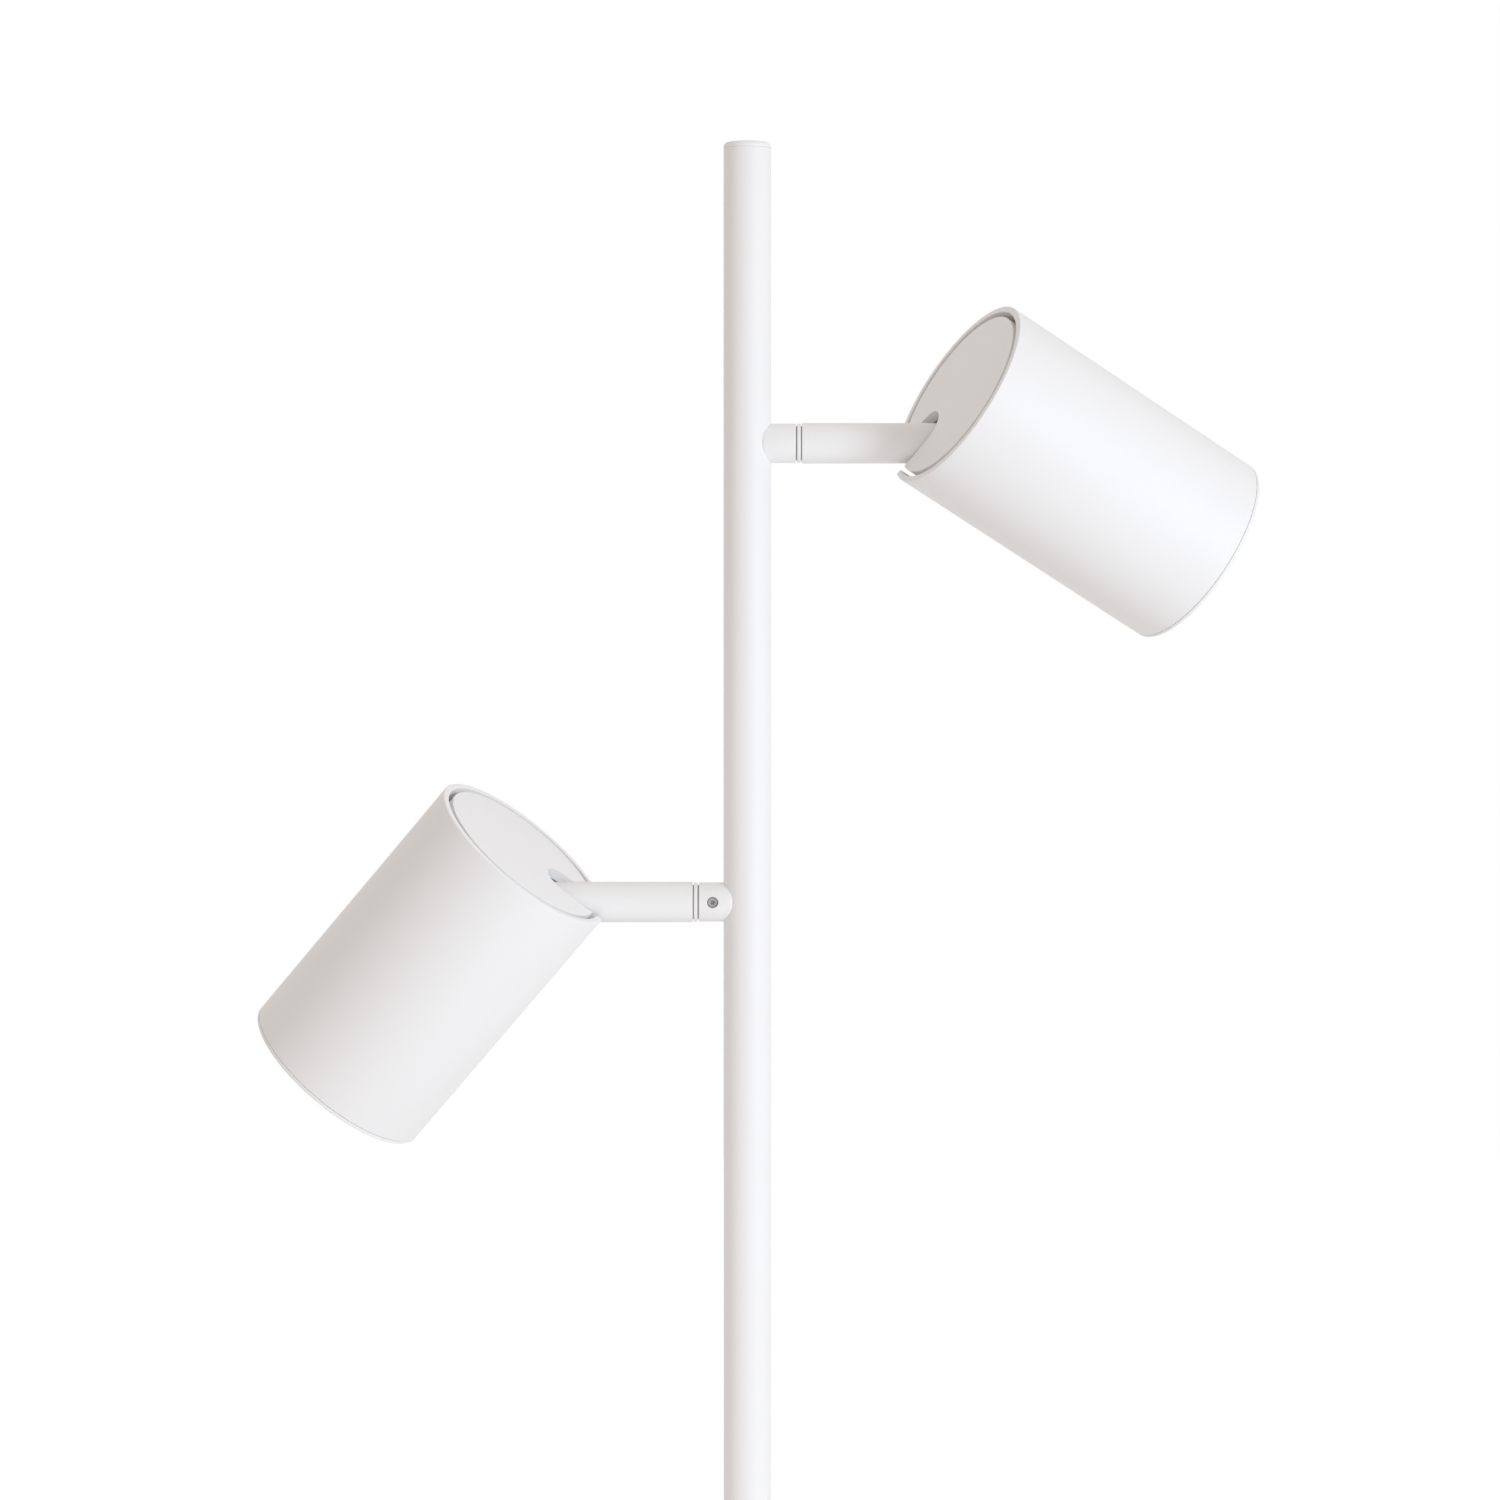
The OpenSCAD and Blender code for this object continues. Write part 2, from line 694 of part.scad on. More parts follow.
// Tube with a turned nose: a flat tongue, forked for the lead, on the tilt pivot
module arm_tube(side) {
    color(WHITE) on_arm(side) difference() {
        union() {
            translate([0, 0, arm_start]) cylinder(r = arm_r, h = pivot_reach - arm_start);
            translate([0, 0, pivot_reach]) sphere(r = arm_r);
        }
        translate([0, 0, arm_start - eps])
            cylinder(r = arm_inner_r, h = pivot_reach - nose_len - arm_start + eps);
        translate([0, 0, arm_start]) cylinder(r = arm_bore_r, h = pivot_reach - arm_start);
        for (y = [tongue_half, -tongue_half - arm_r])
            translate([-arm_r - eps, y, pivot_reach - tongue_len])
                cube([arm_d + 2 * eps, arm_r, tongue_len + arm_r + eps]);
        translate([-wire_slot_half, -wire_slot_half, pivot_reach - arm_bore_r])
            cube([arm_d, 2 * wire_slot_half, arm_d]);
        translate([0, 0, pivot_reach]) rotate([90, 0, 0])
            cylinder(r = tilt_r + seat_gap, h = arm_d + 2 * eps, center = true);
    }
}

// Shoulder screws: each passes an ear of the bracket and ends beside the lead
module tilt_screws(side) {
    tip = wire_slot_half + 0.3;
    color(BRIGHT) on_arm(side) translate([0, 0, pivot_reach]) for (turn = [-90, 90])
        rotate([turn, 0, 0]) difference() {
            union() {
                translate([0, 0, tip]) cylinder(r = tilt_r, h = tilt_head_y - tip);
                translate([0, 0, tilt_head_y]) cylinder(r = screw_head_r, h = screw_head_h);
            }
            translate([0, 0, tilt_head_y + screw_head_h - 1]) cylinder(r = 1.2, h = 1 + eps, $fn = 6);
        }
}

module tilt_washers(side) {
    color(NYLON) on_arm(side) translate([0, 0, pivot_reach]) for (turn = [-90, 90])
        rotate([turn, 0, 0]) translate([0, 0, tongue_half])
            ring(ear_r - 0.4, tilt_r + seat_gap, tilt_washer_t);
}

module arm_lead(side) {
    color(DARK) on_arm(side) translate([0, 0, spigot_start])
        lead_run(pivot_reach - lead_r - end_gap - spigot_start);
}

// ---- Heads ----

// Tube with a notched rear rim and an inner flange that the rear cap is screwed to
module head_shell(side) {
    color(WHITE) in_head(side) difference() {
        union() {
            difference() {
                union() {
                    translate([0, 0, rim_r]) cylinder(r = head_r, h = shell_end - rim_r);
                    translate([0, 0, rim_r]) rotate([180, 0, 0]) rotate_extrude()
                        round_edge_2d(head_r, rim_r, rim_r - 0.01);
                }
                translate([0, 0, -eps]) cylinder(r = shell_inner_r, h = shell_end + 2 * eps);
            }
            translate([0, 0, flange_z]) ring(shell_inner_r + 0.1, flange_r, flange_t);
        }
        arm_slot();
        at_bosses(flange_z - eps) cylinder(r = screw_hole_r, h = flange_t + 2 * eps);
    }
}

module at_bosses(z) {
    for (a = BOSS_ANGLES)
        rotate([0, 0, a]) translate([boss_pcd_r, 0, z]) children();
}

// Slotted disc with a skirt and three bosses
module rear_cap(side) {
    color(WHITE) in_head(side) difference() {
        union() {
            translate([0, 0, disc_inner]) rotate([180, 0, 0]) rotate_extrude()
                round_edge_2d(cap_r, cap_t, 0.4);
            translate([0, 0, disc_inner]) ring(cap_r, cap_r - skirt_t, skirt_end - disc_inner);
            at_bosses(disc_inner) cylinder(r = boss_r, h = flange_z - disc_inner);
        }
        arm_slot();
        at_bosses(flange_z - 6) cylinder(r = screw_r + seat_gap, h = 6 + eps);
        for (y = [-bracket_screw[1], bracket_screw[1]])
            translate([bracket_screw[0], y, disc_inner - 1.8]) cylinder(r = screw_r + seat_gap, h = 2);
    }
}

// Folded strip: plate on the cap, two ears at the pivot, and a strap for the lampholder
module tilt_bracket(side) {
    color(STEEL) in_head(side) difference() {
        union() {
            translate([-bracket_screw[1] - 2.5, -bracket_half, disc_inner])
                cube([bracket_screw[1] + 2.5 + leg_x + leg_half, 2 * bracket_half, strip_t]);
            for (y = [ear_inner, -ear_outer]) translate([0, y + strip_t, 0]) rotate([90, 0, 0])
                linear_extrude(strip_t) ear_2d();
            for (y = [bracket_half - strip_t, -bracket_half])
                translate([leg_x - leg_half, y, disc_inner]) cube([2 * leg_half, strip_t, strap_rise + strip_t]);
            translate([leg_x - leg_half, -bracket_half, holder_z - strip_t])
                cube([2 * leg_half, 2 * bracket_half, strip_t]);
        }
        for (y = [-bracket_screw[1], bracket_screw[1]])
            translate([bracket_screw[0], y, disc_inner - eps]) cylinder(r = screw_hole_r, h = strip_t + 2 * eps);
        translate([0, 0, holder_z - strip_t - eps]) {
            cylinder(r = strap_hole_r, h = strip_t + 2 * eps);
            for (y = [-holder_screw_y, holder_screw_y])
                translate([0, y, 0]) cylinder(r = screw_hole_r, h = strip_t + 2 * eps);
        }
        translate([pivot_offset, -bracket_half, pivot_depth]) rotate([-90, 0, 0])
            cylinder(r = tilt_r + run_gap, h = 2 * bracket_half);
    }
}

// One ear, in the plane of the head's axis and the slot
module ear_2d() {
    translate([pivot_offset, pivot_depth]) circle(r = ear_r);
    polygon([[-2, disc_inner], [leg_x + leg_half, disc_inner], [pivot_offset, pivot_depth - ear_r],
        [pivot_offset, pivot_depth + ear_r], [-2, plate_z + 2]]);
}

// Ceramic body with a cavity for the pin heads and two keyhole slots in its face
module lampholder(side) {
    color(CERAMIC) in_head(side) difference() {
        translate([0, 0, holder_z]) rotate_extrude() round_edge_2d(holder_r, holder_len, 1);
        translate([0, 0, holder_front - face_t - cavity_h]) cylinder(r = pin_r + pin_head_r + 0.6, h = cavity_h);
        for (a = [90, 270]) rotate([0, 0, a]) translate([0, 0, holder_front - face_t - eps]) pin_keyhole();
        for (y = [-holder_screw_y, holder_screw_y])
            translate([0, y, holder_z - eps]) cylinder(r = screw_r + seat_gap, h = 6.5);
    }
}

// A pin's way through the face: a wide hole where the lamp goes in, and an arc to the locked end
module pin_keyhole() {
    neck = pin_neck_r + 0.4;
    h = face_t + 2 * eps;
    rotate_extrude(angle = lock_twist) translate([pin_r - neck, 0]) square([2 * neck, h]);
    translate([pin_r, 0, 0]) cylinder(r = neck, h = h);
    rotate([0, 0, lock_twist]) translate([pin_r, 0, 0]) cylinder(r = pin_head_r + 0.4, h = h);
}

module head_screws(side) {
    color(BRIGHT) in_head(side) {
        for (y = [-bracket_screw[1], bracket_screw[1]])
            translate([bracket_screw[0], y, plate_z]) rotate([180, 0, 0]) screw(strip_t + 1.6);
        at_bosses(flange_z + flange_t) rotate([180, 0, 0]) screw(flange_t + 5);
        for (y = [-holder_screw_y, holder_screw_y])
            translate([0, y, holder_z - strip_t]) screw(strip_t + 5.5);
    }
}

// From the pivot up past the tongue, over to the head's axis, and into the lampholder
module head_lead(side) {
    turn_z = pivot_depth + arm_r - 0.3;
    over_z = turn_z + lead_bend;
    color(DARK) in_head(side) union() {
        translate([pivot_offset, 0, pivot_depth]) {
            sphere(r = lead_r, $fn = 32);
            lead_run(turn_z - pivot_depth);
        }
        translate([pivot_offset - lead_bend, 0, turn_z]) rotate([90, 0, 0]) lead_quarter(lead_bend);
        translate([lead_bend, 0, over_z]) rotate([0, 90, 0]) lead_run(pivot_offset - 2 * lead_bend);
        translate([lead_bend, 0, over_z + lead_bend]) rotate([90, 0, 0]) rotate([0, 0, 180])
            lead_quarter(lead_bend);
        translate([0, 0, over_z + lead_bend]) lead_run(holder_z - over_z - lead_bend);
    }
}

module front_ring(side) {
    color(WHITE) in_head(side) difference() {
        union() {
            translate([0, 0, head_len - ring_edge]) rotate_extrude() round_edge_2d(head_r, ring_edge, 0.5);
            translate([0, 0, head_len - ring_edge - ring_skirt_len])
                cylinder(r = ring_skirt_r, h = ring_skirt_len);
        }
        translate([0, 0, head_len - ring_edge - ring_skirt_len - eps])
            cylinder(r = ring_skirt_r - ring_skirt_t, h = ring_skirt_len + eps);
        cylinder(r = ring_inner_r, h = head_len + eps);
    }
}

// ---- Lamps ----

// Neck, flared body and rim, with a recess for the lens
module lamp_body(side) {
    color(NYLON) in_head(side) translate([0, 0, bulb_z]) difference() {
        union() {
            cylinder(r = bulb_neck_r, h = bulb_neck_len + 0.5);
            translate([0, 0, bulb_neck_len])
                cylinder(r1 = bulb_neck_r + 1, r2 = bulb_r, h = bulb_len - rim_len - bulb_neck_len);
            translate([0, 0, bulb_len - rim_len]) rotate_extrude() round_edge_2d(bulb_r, rim_len, 0.8);
        }
        translate([0, 0, bulb_len - lens_t]) cylinder(r = lens_r, h = lens_t + eps);
    }
}

module lamp_lens(side) {
    color(LENS) in_head(side) translate([0, 0, bulb_front - lens_t]) cylinder(r = lens_r - seat_gap, h = lens_t);
}

module lamp_pins(side) {
    color(BRIGHT) in_head(side) for (a = [90, 270]) rotate([0, 0, a])
        translate([pin_r, 0, bulb_z - pin_neck_len - pin_head_len]) {
            cylinder(r = pin_head_r, h = pin_head_len);
            translate([0, 0, pin_head_len]) cylinder(r = pin_neck_r, h = pin_neck_len);
        }
}

base_cover();
base_weight();
base_plate();
base_pad();
base_screws();
base_nut();
base_washer();
base_stud();
cord_gland();
terminal_block();
terminal_screws();
pole_lower();
pole_middle();
pole_upper();
pole_inserts();
coupling_studs();
pole_cap();
pole_anchors();
anchor_studs();
grub_screws();
pole_lead(UPPER);  // upper_pole_lead
pole_lead(LOWER);  // lower_pole_lead
knuckle(UPPER);  // upper_knuckle
knuckle(LOWER);  // lower_knuckle
swivel_spigot(UPPER);  // upper_swivel_spigot
swivel_washers(UPPER);  // upper_swivel_washers
swivel_ring(UPPER);  // upper_swivel_ring
arm_tube(UPPER);  // upper_arm_tube
tilt_screws(UPPER);  // upper_tilt_screws
tilt_washers(UPPER);  // upper_tilt_washers
arm_lead(UPPER);  // upper_arm_lead
head_shell(UPPER);  // upper_head_shell
rear_cap(UPPER);  // upper_rear_cap
tilt_bracket(UPPER);  // upper_tilt_bracket
lampholder(UPPER);  // upper_lampholder
head_screws(UPPER);  // upper_head_screws
head_lead(UPPER);  // upper_head_lead
front_ring(UPPER);  // upper_front_ring
lamp_body(UPPER);  // upper_lamp_body
lamp_lens(UPPER);  // upper_lamp_lens
lamp_pins(UPPER);  // upper_lamp_pins
swivel_spigot(LOWER);  // lower_swivel_spigot
swivel_washers(LOWER);  // lower_swivel_washers
swivel_ring(LOWER);  // lower_swivel_ring
arm_tube(LOWER);  // lower_arm_tube
tilt_screws(LOWER);  // lower_tilt_screws
tilt_washers(LOWER);  // lower_tilt_washers
arm_lead(LOWER);  // lower_arm_lead
head_shell(LOWER);  // lower_head_shell
rear_cap(LOWER);  // lower_rear_cap
tilt_bracket(LOWER);  // lower_tilt_bracket
lampholder(LOWER);  // lower_lampholder
head_screws(LOWER);  // lower_head_screws
head_lead(LOWER);  // lower_head_lead
front_ring(LOWER);  // lower_front_ring
lamp_body(LOWER);  // lower_lamp_body
lamp_lens(LOWER);  // lower_lamp_lens
lamp_pins(LOWER);  // lower_lamp_pins
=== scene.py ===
# %% [markdown]
# # A floor lamp with two spots
#
# The lamp is a slim white pole on a round base. Two short arms stand out from it, and each holds a
# spot: a plain tube with a notch in its rear rim, closed by a slotted cap. The measured model comes
# in as a fixed frame of solids. This notebook gives it its finish, and builds the pieces that show
# again, with the soft edges that powder coat and turned metal have.

# %% Load the frame
import json
import math

import bpy
from mathutils import Matrix, Vector


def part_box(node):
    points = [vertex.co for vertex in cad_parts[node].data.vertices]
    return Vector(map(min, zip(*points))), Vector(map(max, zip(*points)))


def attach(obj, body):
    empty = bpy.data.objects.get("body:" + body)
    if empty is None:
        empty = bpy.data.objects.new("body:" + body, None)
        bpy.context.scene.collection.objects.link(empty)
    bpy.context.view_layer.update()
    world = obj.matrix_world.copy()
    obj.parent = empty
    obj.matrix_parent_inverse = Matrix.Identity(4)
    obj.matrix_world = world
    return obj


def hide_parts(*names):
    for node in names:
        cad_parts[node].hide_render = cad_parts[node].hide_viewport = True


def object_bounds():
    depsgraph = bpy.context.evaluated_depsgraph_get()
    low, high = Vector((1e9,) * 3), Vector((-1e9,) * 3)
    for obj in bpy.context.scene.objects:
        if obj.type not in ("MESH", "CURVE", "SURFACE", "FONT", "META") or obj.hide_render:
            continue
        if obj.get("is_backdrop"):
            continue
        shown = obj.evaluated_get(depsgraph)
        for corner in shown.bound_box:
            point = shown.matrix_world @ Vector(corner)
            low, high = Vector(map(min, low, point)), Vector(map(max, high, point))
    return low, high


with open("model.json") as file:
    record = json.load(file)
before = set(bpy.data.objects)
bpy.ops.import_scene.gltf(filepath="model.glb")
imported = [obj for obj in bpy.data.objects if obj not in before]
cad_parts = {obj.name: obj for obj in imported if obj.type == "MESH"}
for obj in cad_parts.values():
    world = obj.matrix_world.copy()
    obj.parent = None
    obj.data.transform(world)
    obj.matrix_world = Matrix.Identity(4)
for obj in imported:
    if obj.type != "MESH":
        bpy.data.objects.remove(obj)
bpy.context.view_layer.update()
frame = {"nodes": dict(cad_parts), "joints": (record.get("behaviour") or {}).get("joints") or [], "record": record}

MM = 0.001      # the pieces' sizes are in millimetres, and Blender works in metres

# %% [markdown]
# ## The camera
#
# The picture was taken from straight in front, level with the middle of the top part of the lamp,
# with a long lens: the pole's sides stay parallel, and the upper face of neither arm shows. A
# camera can be placed by eye, but here its distance follows from the size of the pole in the
# picture. It stands 1.79 m away with a 127 mm lens, which gives 2.97 pixels to a millimetre at the
# pole.

# %% Camera
LENS_MM = 127.2
SENSOR_MM = 36
PHOTO_PIXELS = 1500
CAMERA_AT = (0.0009, -1.785, 1.2954)
bpy.ops.object.camera_add(location=CAMERA_AT, rotation=(math.radians(90), 0, 0))
camera = bpy.context.object
camera.name = "camera"
camera.data.lens = LENS_MM
camera.data.sensor_width = SENSOR_MM
bpy.context.scene.camera = camera
print("Pixels to a millimetre at the pole:",
      round(LENS_MM / SENSOR_MM * PHOTO_PIXELS * MM / -CAMERA_AT[1], 3))

# %% [markdown]
# ## Where the arms and heads are
#
# Each joint of the frame knows its own range, and the pose follows from it. A head tilts from 0 to
# 90 degrees away from the arm's line, so the lower end of its range is minus the tilt at rest. An
# arm swivels to 155 degrees on each side of straight down, so the middle of its range gives its
# turn at rest. A piece is modelled upright at the origin, in millimetres along its own axis, and
# one matrix then puts it in place.

# %% Places
joints = {joint["name"]: joint for joint in frame["joints"]}
SIDES = {"upper": 0, "lower": 180}      # turn of each arm about the pole
PIVOT_REACH = abs(joints["upper_tilt"]["pos_m"][0]) / MM
PIVOT_OFFSET = 17.5                     # the pivot's distance from the head's own axis
PIVOT_DEPTH = 8.5                       # and from its rear rim


def turn(degrees, axis):
    return Matrix.Rotation(math.radians(degrees), 4, axis)


def shift(x, y, z):
    return Matrix.Translation(Vector((x, y, z)) * MM)


def arm_height(side):
    return joints[side + "_swivel"]["pos_m"][2] / MM


def knuckle_place(side):
    return shift(0, 0, arm_height(side)) @ turn(SIDES[side], "Z") @ turn(90, "Y")


def arm_place(side):
    low, high = joints[side + "_swivel"]["range_deg"]
    roll = -(low + high) / 2
    return (shift(0, 0, arm_height(side)) @ turn(SIDES[side], "Z") @ turn(roll, "X")
            @ turn(90, "Y"))


def head_place(side):
    tilt = -joints[side + "_tilt"]["range_deg"][0]
    return (arm_place(side) @ shift(0, 0, PIVOT_REACH) @ turn(tilt, "Y")
            @ shift(-PIVOT_OFFSET, 0, -PIVOT_DEPTH))


for side in SIDES:
    print(side, "arm at", round(arm_height(side), 1), "mm; its head's axis points along",
          [round(v, 3) for v in head_place(side).to_3x3() @ Vector((0, 0, 1))])

# %% [markdown]
# ## A lathe made of extrusions
#
# Nearly every piece of this lamp is turned, or rolled from tube. A profile could be spun with the
# spin tool, but a ring of points that is extruded and scaled from station to station makes the same
# shape, and keeps even faces that shade smoothly. A station is a radius and a height in
# millimetres. Corners of a real part are never sharp, so a profile's corners are rounded first.

# %% Profiles
def rounded(corners, steps=5):
    """Replaces each (radius, height, rounding) corner by the points of an arc."""
    points = []
    for i, (r, z, round_r) in enumerate(corners):
        here = Vector((r, z))
        if not round_r:
            points.append((r, z))
            continue
        back = (Vector(corners[i - 1][:2]) - here).normalized()
        on = (Vector(corners[(i + 1) % len(corners)][:2]) - here).normalized()
        half = back.angle(on) / 2
        centre = here + (back + on).normalized() * (round_r / math.sin(half))
        start = here + back * (round_r / math.tan(half)) - centre
        sweep = start.angle_signed(here + on * (round_r / math.tan(half)) - centre)
        for k in range(steps + 1):
            point = centre + Matrix.Rotation(-sweep * k / steps, 2) @ start
            points.append((point.x, point.y))
    return points


# %% Lathe
SEAM_GAP = 0.002        # points nearer than this at the closing seam become one


def clear_selection():
    if bpy.context.mode != "OBJECT":
        bpy.ops.object.mode_set(mode="OBJECT")
    bpy.ops.object.select_all(action="DESELECT")


def apply_place():
    bpy.ops.object.transform_apply(location=True, rotation=True, scale=True)


def turned(name, corners, sides=128, steps=5):
    """Turns a closed profile round the Z axis; one that starts and ends on the axis is solid."""
    stations = rounded(corners, steps)
    solid = corners[0][0] == 0
    if solid:
        stations = stations[1:-1]
    else:
        stations = stations + stations[:1]
    clear_selection()
    radius, height = stations[0]
    bpy.ops.mesh.primitive_circle_add(vertices=sides, radius=radius * MM,
                                      location=(0, 0, height * MM))
    piece = bpy.context.object
    piece.name = name
    apply_place()
    bpy.ops.object.mode_set(mode="EDIT")
    bpy.ops.mesh.select_all(action="SELECT")
    for r, z in stations[1:]:
        rise = (0, 0, (z - height) * MM)
        bpy.ops.mesh.extrude_edges_move(TRANSFORM_OT_translate={"value": rise})
        bpy.ops.transform.resize(value=(r / radius, r / radius, 1),
                                 center_override=(0, 0, z * MM))
        radius, height = r, z
    bpy.ops.mesh.select_all(action="SELECT")
    if solid:
        bpy.ops.mesh.fill_holes(sides=0)
    else:
        bpy.ops.mesh.remove_doubles(threshold=SEAM_GAP * MM)
    bpy.ops.mesh.select_all(action="SELECT")
    bpy.ops.mesh.normals_make_consistent(inside=False)
    bpy.ops.object.mode_set(mode="OBJECT")
    return piece


# %% [markdown]
# ## Cutting, softening and placing
#
# Slots and holes are cut with a boolean, as they are milled into the real blank. The cutter is a
# mesh of its own that disappears after the cut. The new edges then get a narrow bevel: paint never
# lies on a knife edge, and a bevel catches the light as the real edge does.

# %% Cut
def make_cylinder(radius, low, high, sides=64):
    """An upright cylinder between two heights, in millimetres."""
    clear_selection()
    bpy.ops.mesh.primitive_cylinder_add(vertices=sides, radius=radius * MM,
                                        depth=(high - low) * MM,
                                        location=(0, 0, (low + high) / 2 * MM))
    apply_place()
    return bpy.context.object


def make_box(low, high):
    """A box between two corners, in millimetres."""
    clear_selection()
    low, high = Vector(low) * MM, Vector(high) * MM
    bpy.ops.mesh.primitive_cube_add(size=1, location=(low + high) / 2, scale=high - low)
    apply_place()
    return bpy.context.object


def move(piece, matrix):
    """Moves a piece and keeps its origin at the frame's origin."""
    clear_selection()
    piece.select_set(True)
    bpy.context.view_layer.objects.active = piece
    piece.matrix_world = matrix
    apply_place()
    return piece


def combine(piece, other, operation="DIFFERENCE"):
    """Cuts or joins another mesh into a piece, and removes the other mesh."""
    clear_selection()
    bpy.context.view_layer.objects.active = piece
    modifier = piece.modifiers.new("combine", "BOOLEAN")
    modifier.operation = operation
    modifier.solver = "EXACT"
    modifier.object = other
    bpy.ops.object.modifier_apply(modifier=modifier.name)
    bpy.data.objects.remove(other)
    return piece


# %% Soften
SHARP_EDGE = 35         # degrees
SMOOTH_EDGE = 32


def soften(piece, width, wanted):
    """Bevels the sharp edges whose middle passes the test wanted(x, y, z), in millimetres."""
    clear_selection()
    bpy.context.view_layer.objects.active = piece
    bpy.ops.object.mode_set(mode="EDIT")
    bpy.ops.mesh.select_mode(type="EDGE")
    bpy.ops.mesh.select_all(action="DESELECT")
    bpy.ops.mesh.edges_select_sharp(sharpness=math.radians(SHARP_EDGE))
    bpy.ops.object.mode_set(mode="OBJECT")
    points = piece.data.vertices
    count = 0
    for edge in piece.data.edges:
        if edge.select:
            middle = (points[edge.vertices[0]].co + points[edge.vertices[1]].co) / 2 / MM
            edge.select = wanted(*middle)
            count += edge.select
    bpy.ops.object.mode_set(mode="EDIT")
    bpy.ops.mesh.bevel(offset=width * MM, segments=2, clamp_overlap=True)
    bpy.ops.mesh.select_mode(type="VERT")
    bpy.ops.object.mode_set(mode="OBJECT")
    return count


def smooth(piece):
    clear_selection()
    piece.select_set(True)
    bpy.context.view_layer.objects.active = piece
    bpy.ops.object.shade_smooth_by_angle(angle=math.radians(SMOOTH_EDGE))


# %% Hand over to the frame
def copy_of(piece, name):
    other = piece.copy()
    other.data = piece.data.copy()
    other.name = name
    bpy.context.scene.collection.objects.link(other)
    return other


def fit(piece, body, slot, *nodes):
    """The piece rides on a body, has a slot's finish, and stands for the solids it replaces."""
    smooth(piece)
    piece.data.materials.clear()
    piece.data.materials.append(finishes[slot])
    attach(piece, body)
    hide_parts(*nodes)
    return piece


def for_both_sides(piece, place, body_end, slot, node_end):
    """One copy of a piece for each arm, then the first model goes."""
    for side in SIDES:
        copy = move(copy_of(piece, side + "_" + piece.name), place(side))
        fit(copy, side + body_end if body_end else "stand", slot, side + node_end)
    bpy.data.objects.remove(piece)


# %% [markdown]
# ## Finishes: what several materials share
#
# Three effects come back on many parts, so each is a node group that is built once and placed with
# its own values. Powder coat is sprayed as a powder and baked, which leaves a very fine orange-peel
# surface. Metal that was drawn or brushed has fine lines along one direction. Cast and foamed parts
# have small rounded cells. The groups give only heights and masks, and the shader itself stays in
# each material.

# %% Node helpers
NOISE_LOW, NOISE_HIGH = 0.3, 0.7        # where nearly all values of a noise lie


def new_group(name, inputs, outputs):
    group = bpy.data.node_groups.new(name, "ShaderNodeTree")
    for label, value in inputs.items():
        socket = group.interface.new_socket(label, in_out="INPUT", socket_type="NodeSocketFloat")
        socket.default_value = value
    for label in outputs:
        group.interface.new_socket(label, in_out="OUTPUT", socket_type="NodeSocketFloat")
    return group, group.nodes.new("NodeGroupInput"), group.nodes.new("NodeGroupOutput")


def own_place(tree):
    return tree.nodes.new("ShaderNodeTexCoord").outputs["Object"]


def noise(tree, scale, detail, source):
    """Noise of an output's scale, on a vector output."""
    node = tree.nodes.new("ShaderNodeTexNoise")
    node.inputs["Detail"].default_value = detail
    tree.links.new(scale, node.inputs["Scale"])
    tree.links.new(source, node.inputs["Vector"])
    return node.outputs["Fac"]


def mask_of(tree, value):
    """Stretches a noise to the range from 0 to 1."""
    node = tree.nodes.new("ShaderNodeMapRange")
    node.inputs["From Min"].default_value = NOISE_LOW
    node.inputs["From Max"].default_value = NOISE_HIGH
    tree.links.new(value, node.inputs["Value"])
    return node.outputs["Result"]


# %% Orange peel: bumps about a millimetre apart, and a slow change of colour and gloss
peel, peel_in, peel_out = new_group(
    "orange peel", {"Grain per metre": 900.0, "Patch per metre": 14.0}, ("Height", "Patch"))
grain_noise = noise(peel, peel_in.outputs["Grain per metre"], 3.0, own_place(peel))
patch_noise = noise(peel, peel_in.outputs["Patch per metre"], 2.0, own_place(peel))
peel.links.new(grain_noise, peel_out.inputs["Height"])
peel.links.new(mask_of(peel, patch_noise), peel_out.inputs["Patch"])

# %% Drawn metal: noise that is stretched along one direction
drawn, drawn_in, drawn_out = new_group(
    "drawn lines", {"Across per metre": 6000.0, "Stretch": 0.02}, ("Height", "Line"))
stretch = drawn.nodes.new("ShaderNodeCombineXYZ")
stretch.inputs["X"].default_value = 1.0
stretch.inputs["Y"].default_value = 1.0
drawn.links.new(drawn_in.outputs["Stretch"], stretch.inputs["Z"])
lines_at = drawn.nodes.new("ShaderNodeVectorMath")
lines_at.operation = "MULTIPLY"
drawn.links.new(own_place(drawn), lines_at.inputs[0])
drawn.links.new(stretch.outputs["Vector"], lines_at.inputs[1])
line_noise = noise(drawn, drawn_in.outputs["Across per metre"], 2.0, lines_at.outputs["Vector"])
drawn.links.new(line_noise, drawn_out.inputs["Height"])
drawn.links.new(mask_of(drawn, line_noise), drawn_out.inputs["Line"])

# %% Cast and foamed surfaces: rounded cells of one size
cells, cells_in, cells_out = new_group("cells", {"Cells per metre": 700.0}, ("Height", "Cell"))
cell_texture = cells.nodes.new("ShaderNodeTexVoronoi")
cell_texture.feature = "SMOOTH_F1"
cells.links.new(cells_in.outputs["Cells per metre"], cell_texture.inputs["Scale"])
cells.links.new(own_place(cells), cell_texture.inputs["Vector"])
for output in ("Height", "Cell"):
    cells.links.new(cell_texture.outputs["Distance"], cells_out.inputs[output])
print("Node groups:", [group.name for group in bpy.data.node_groups])

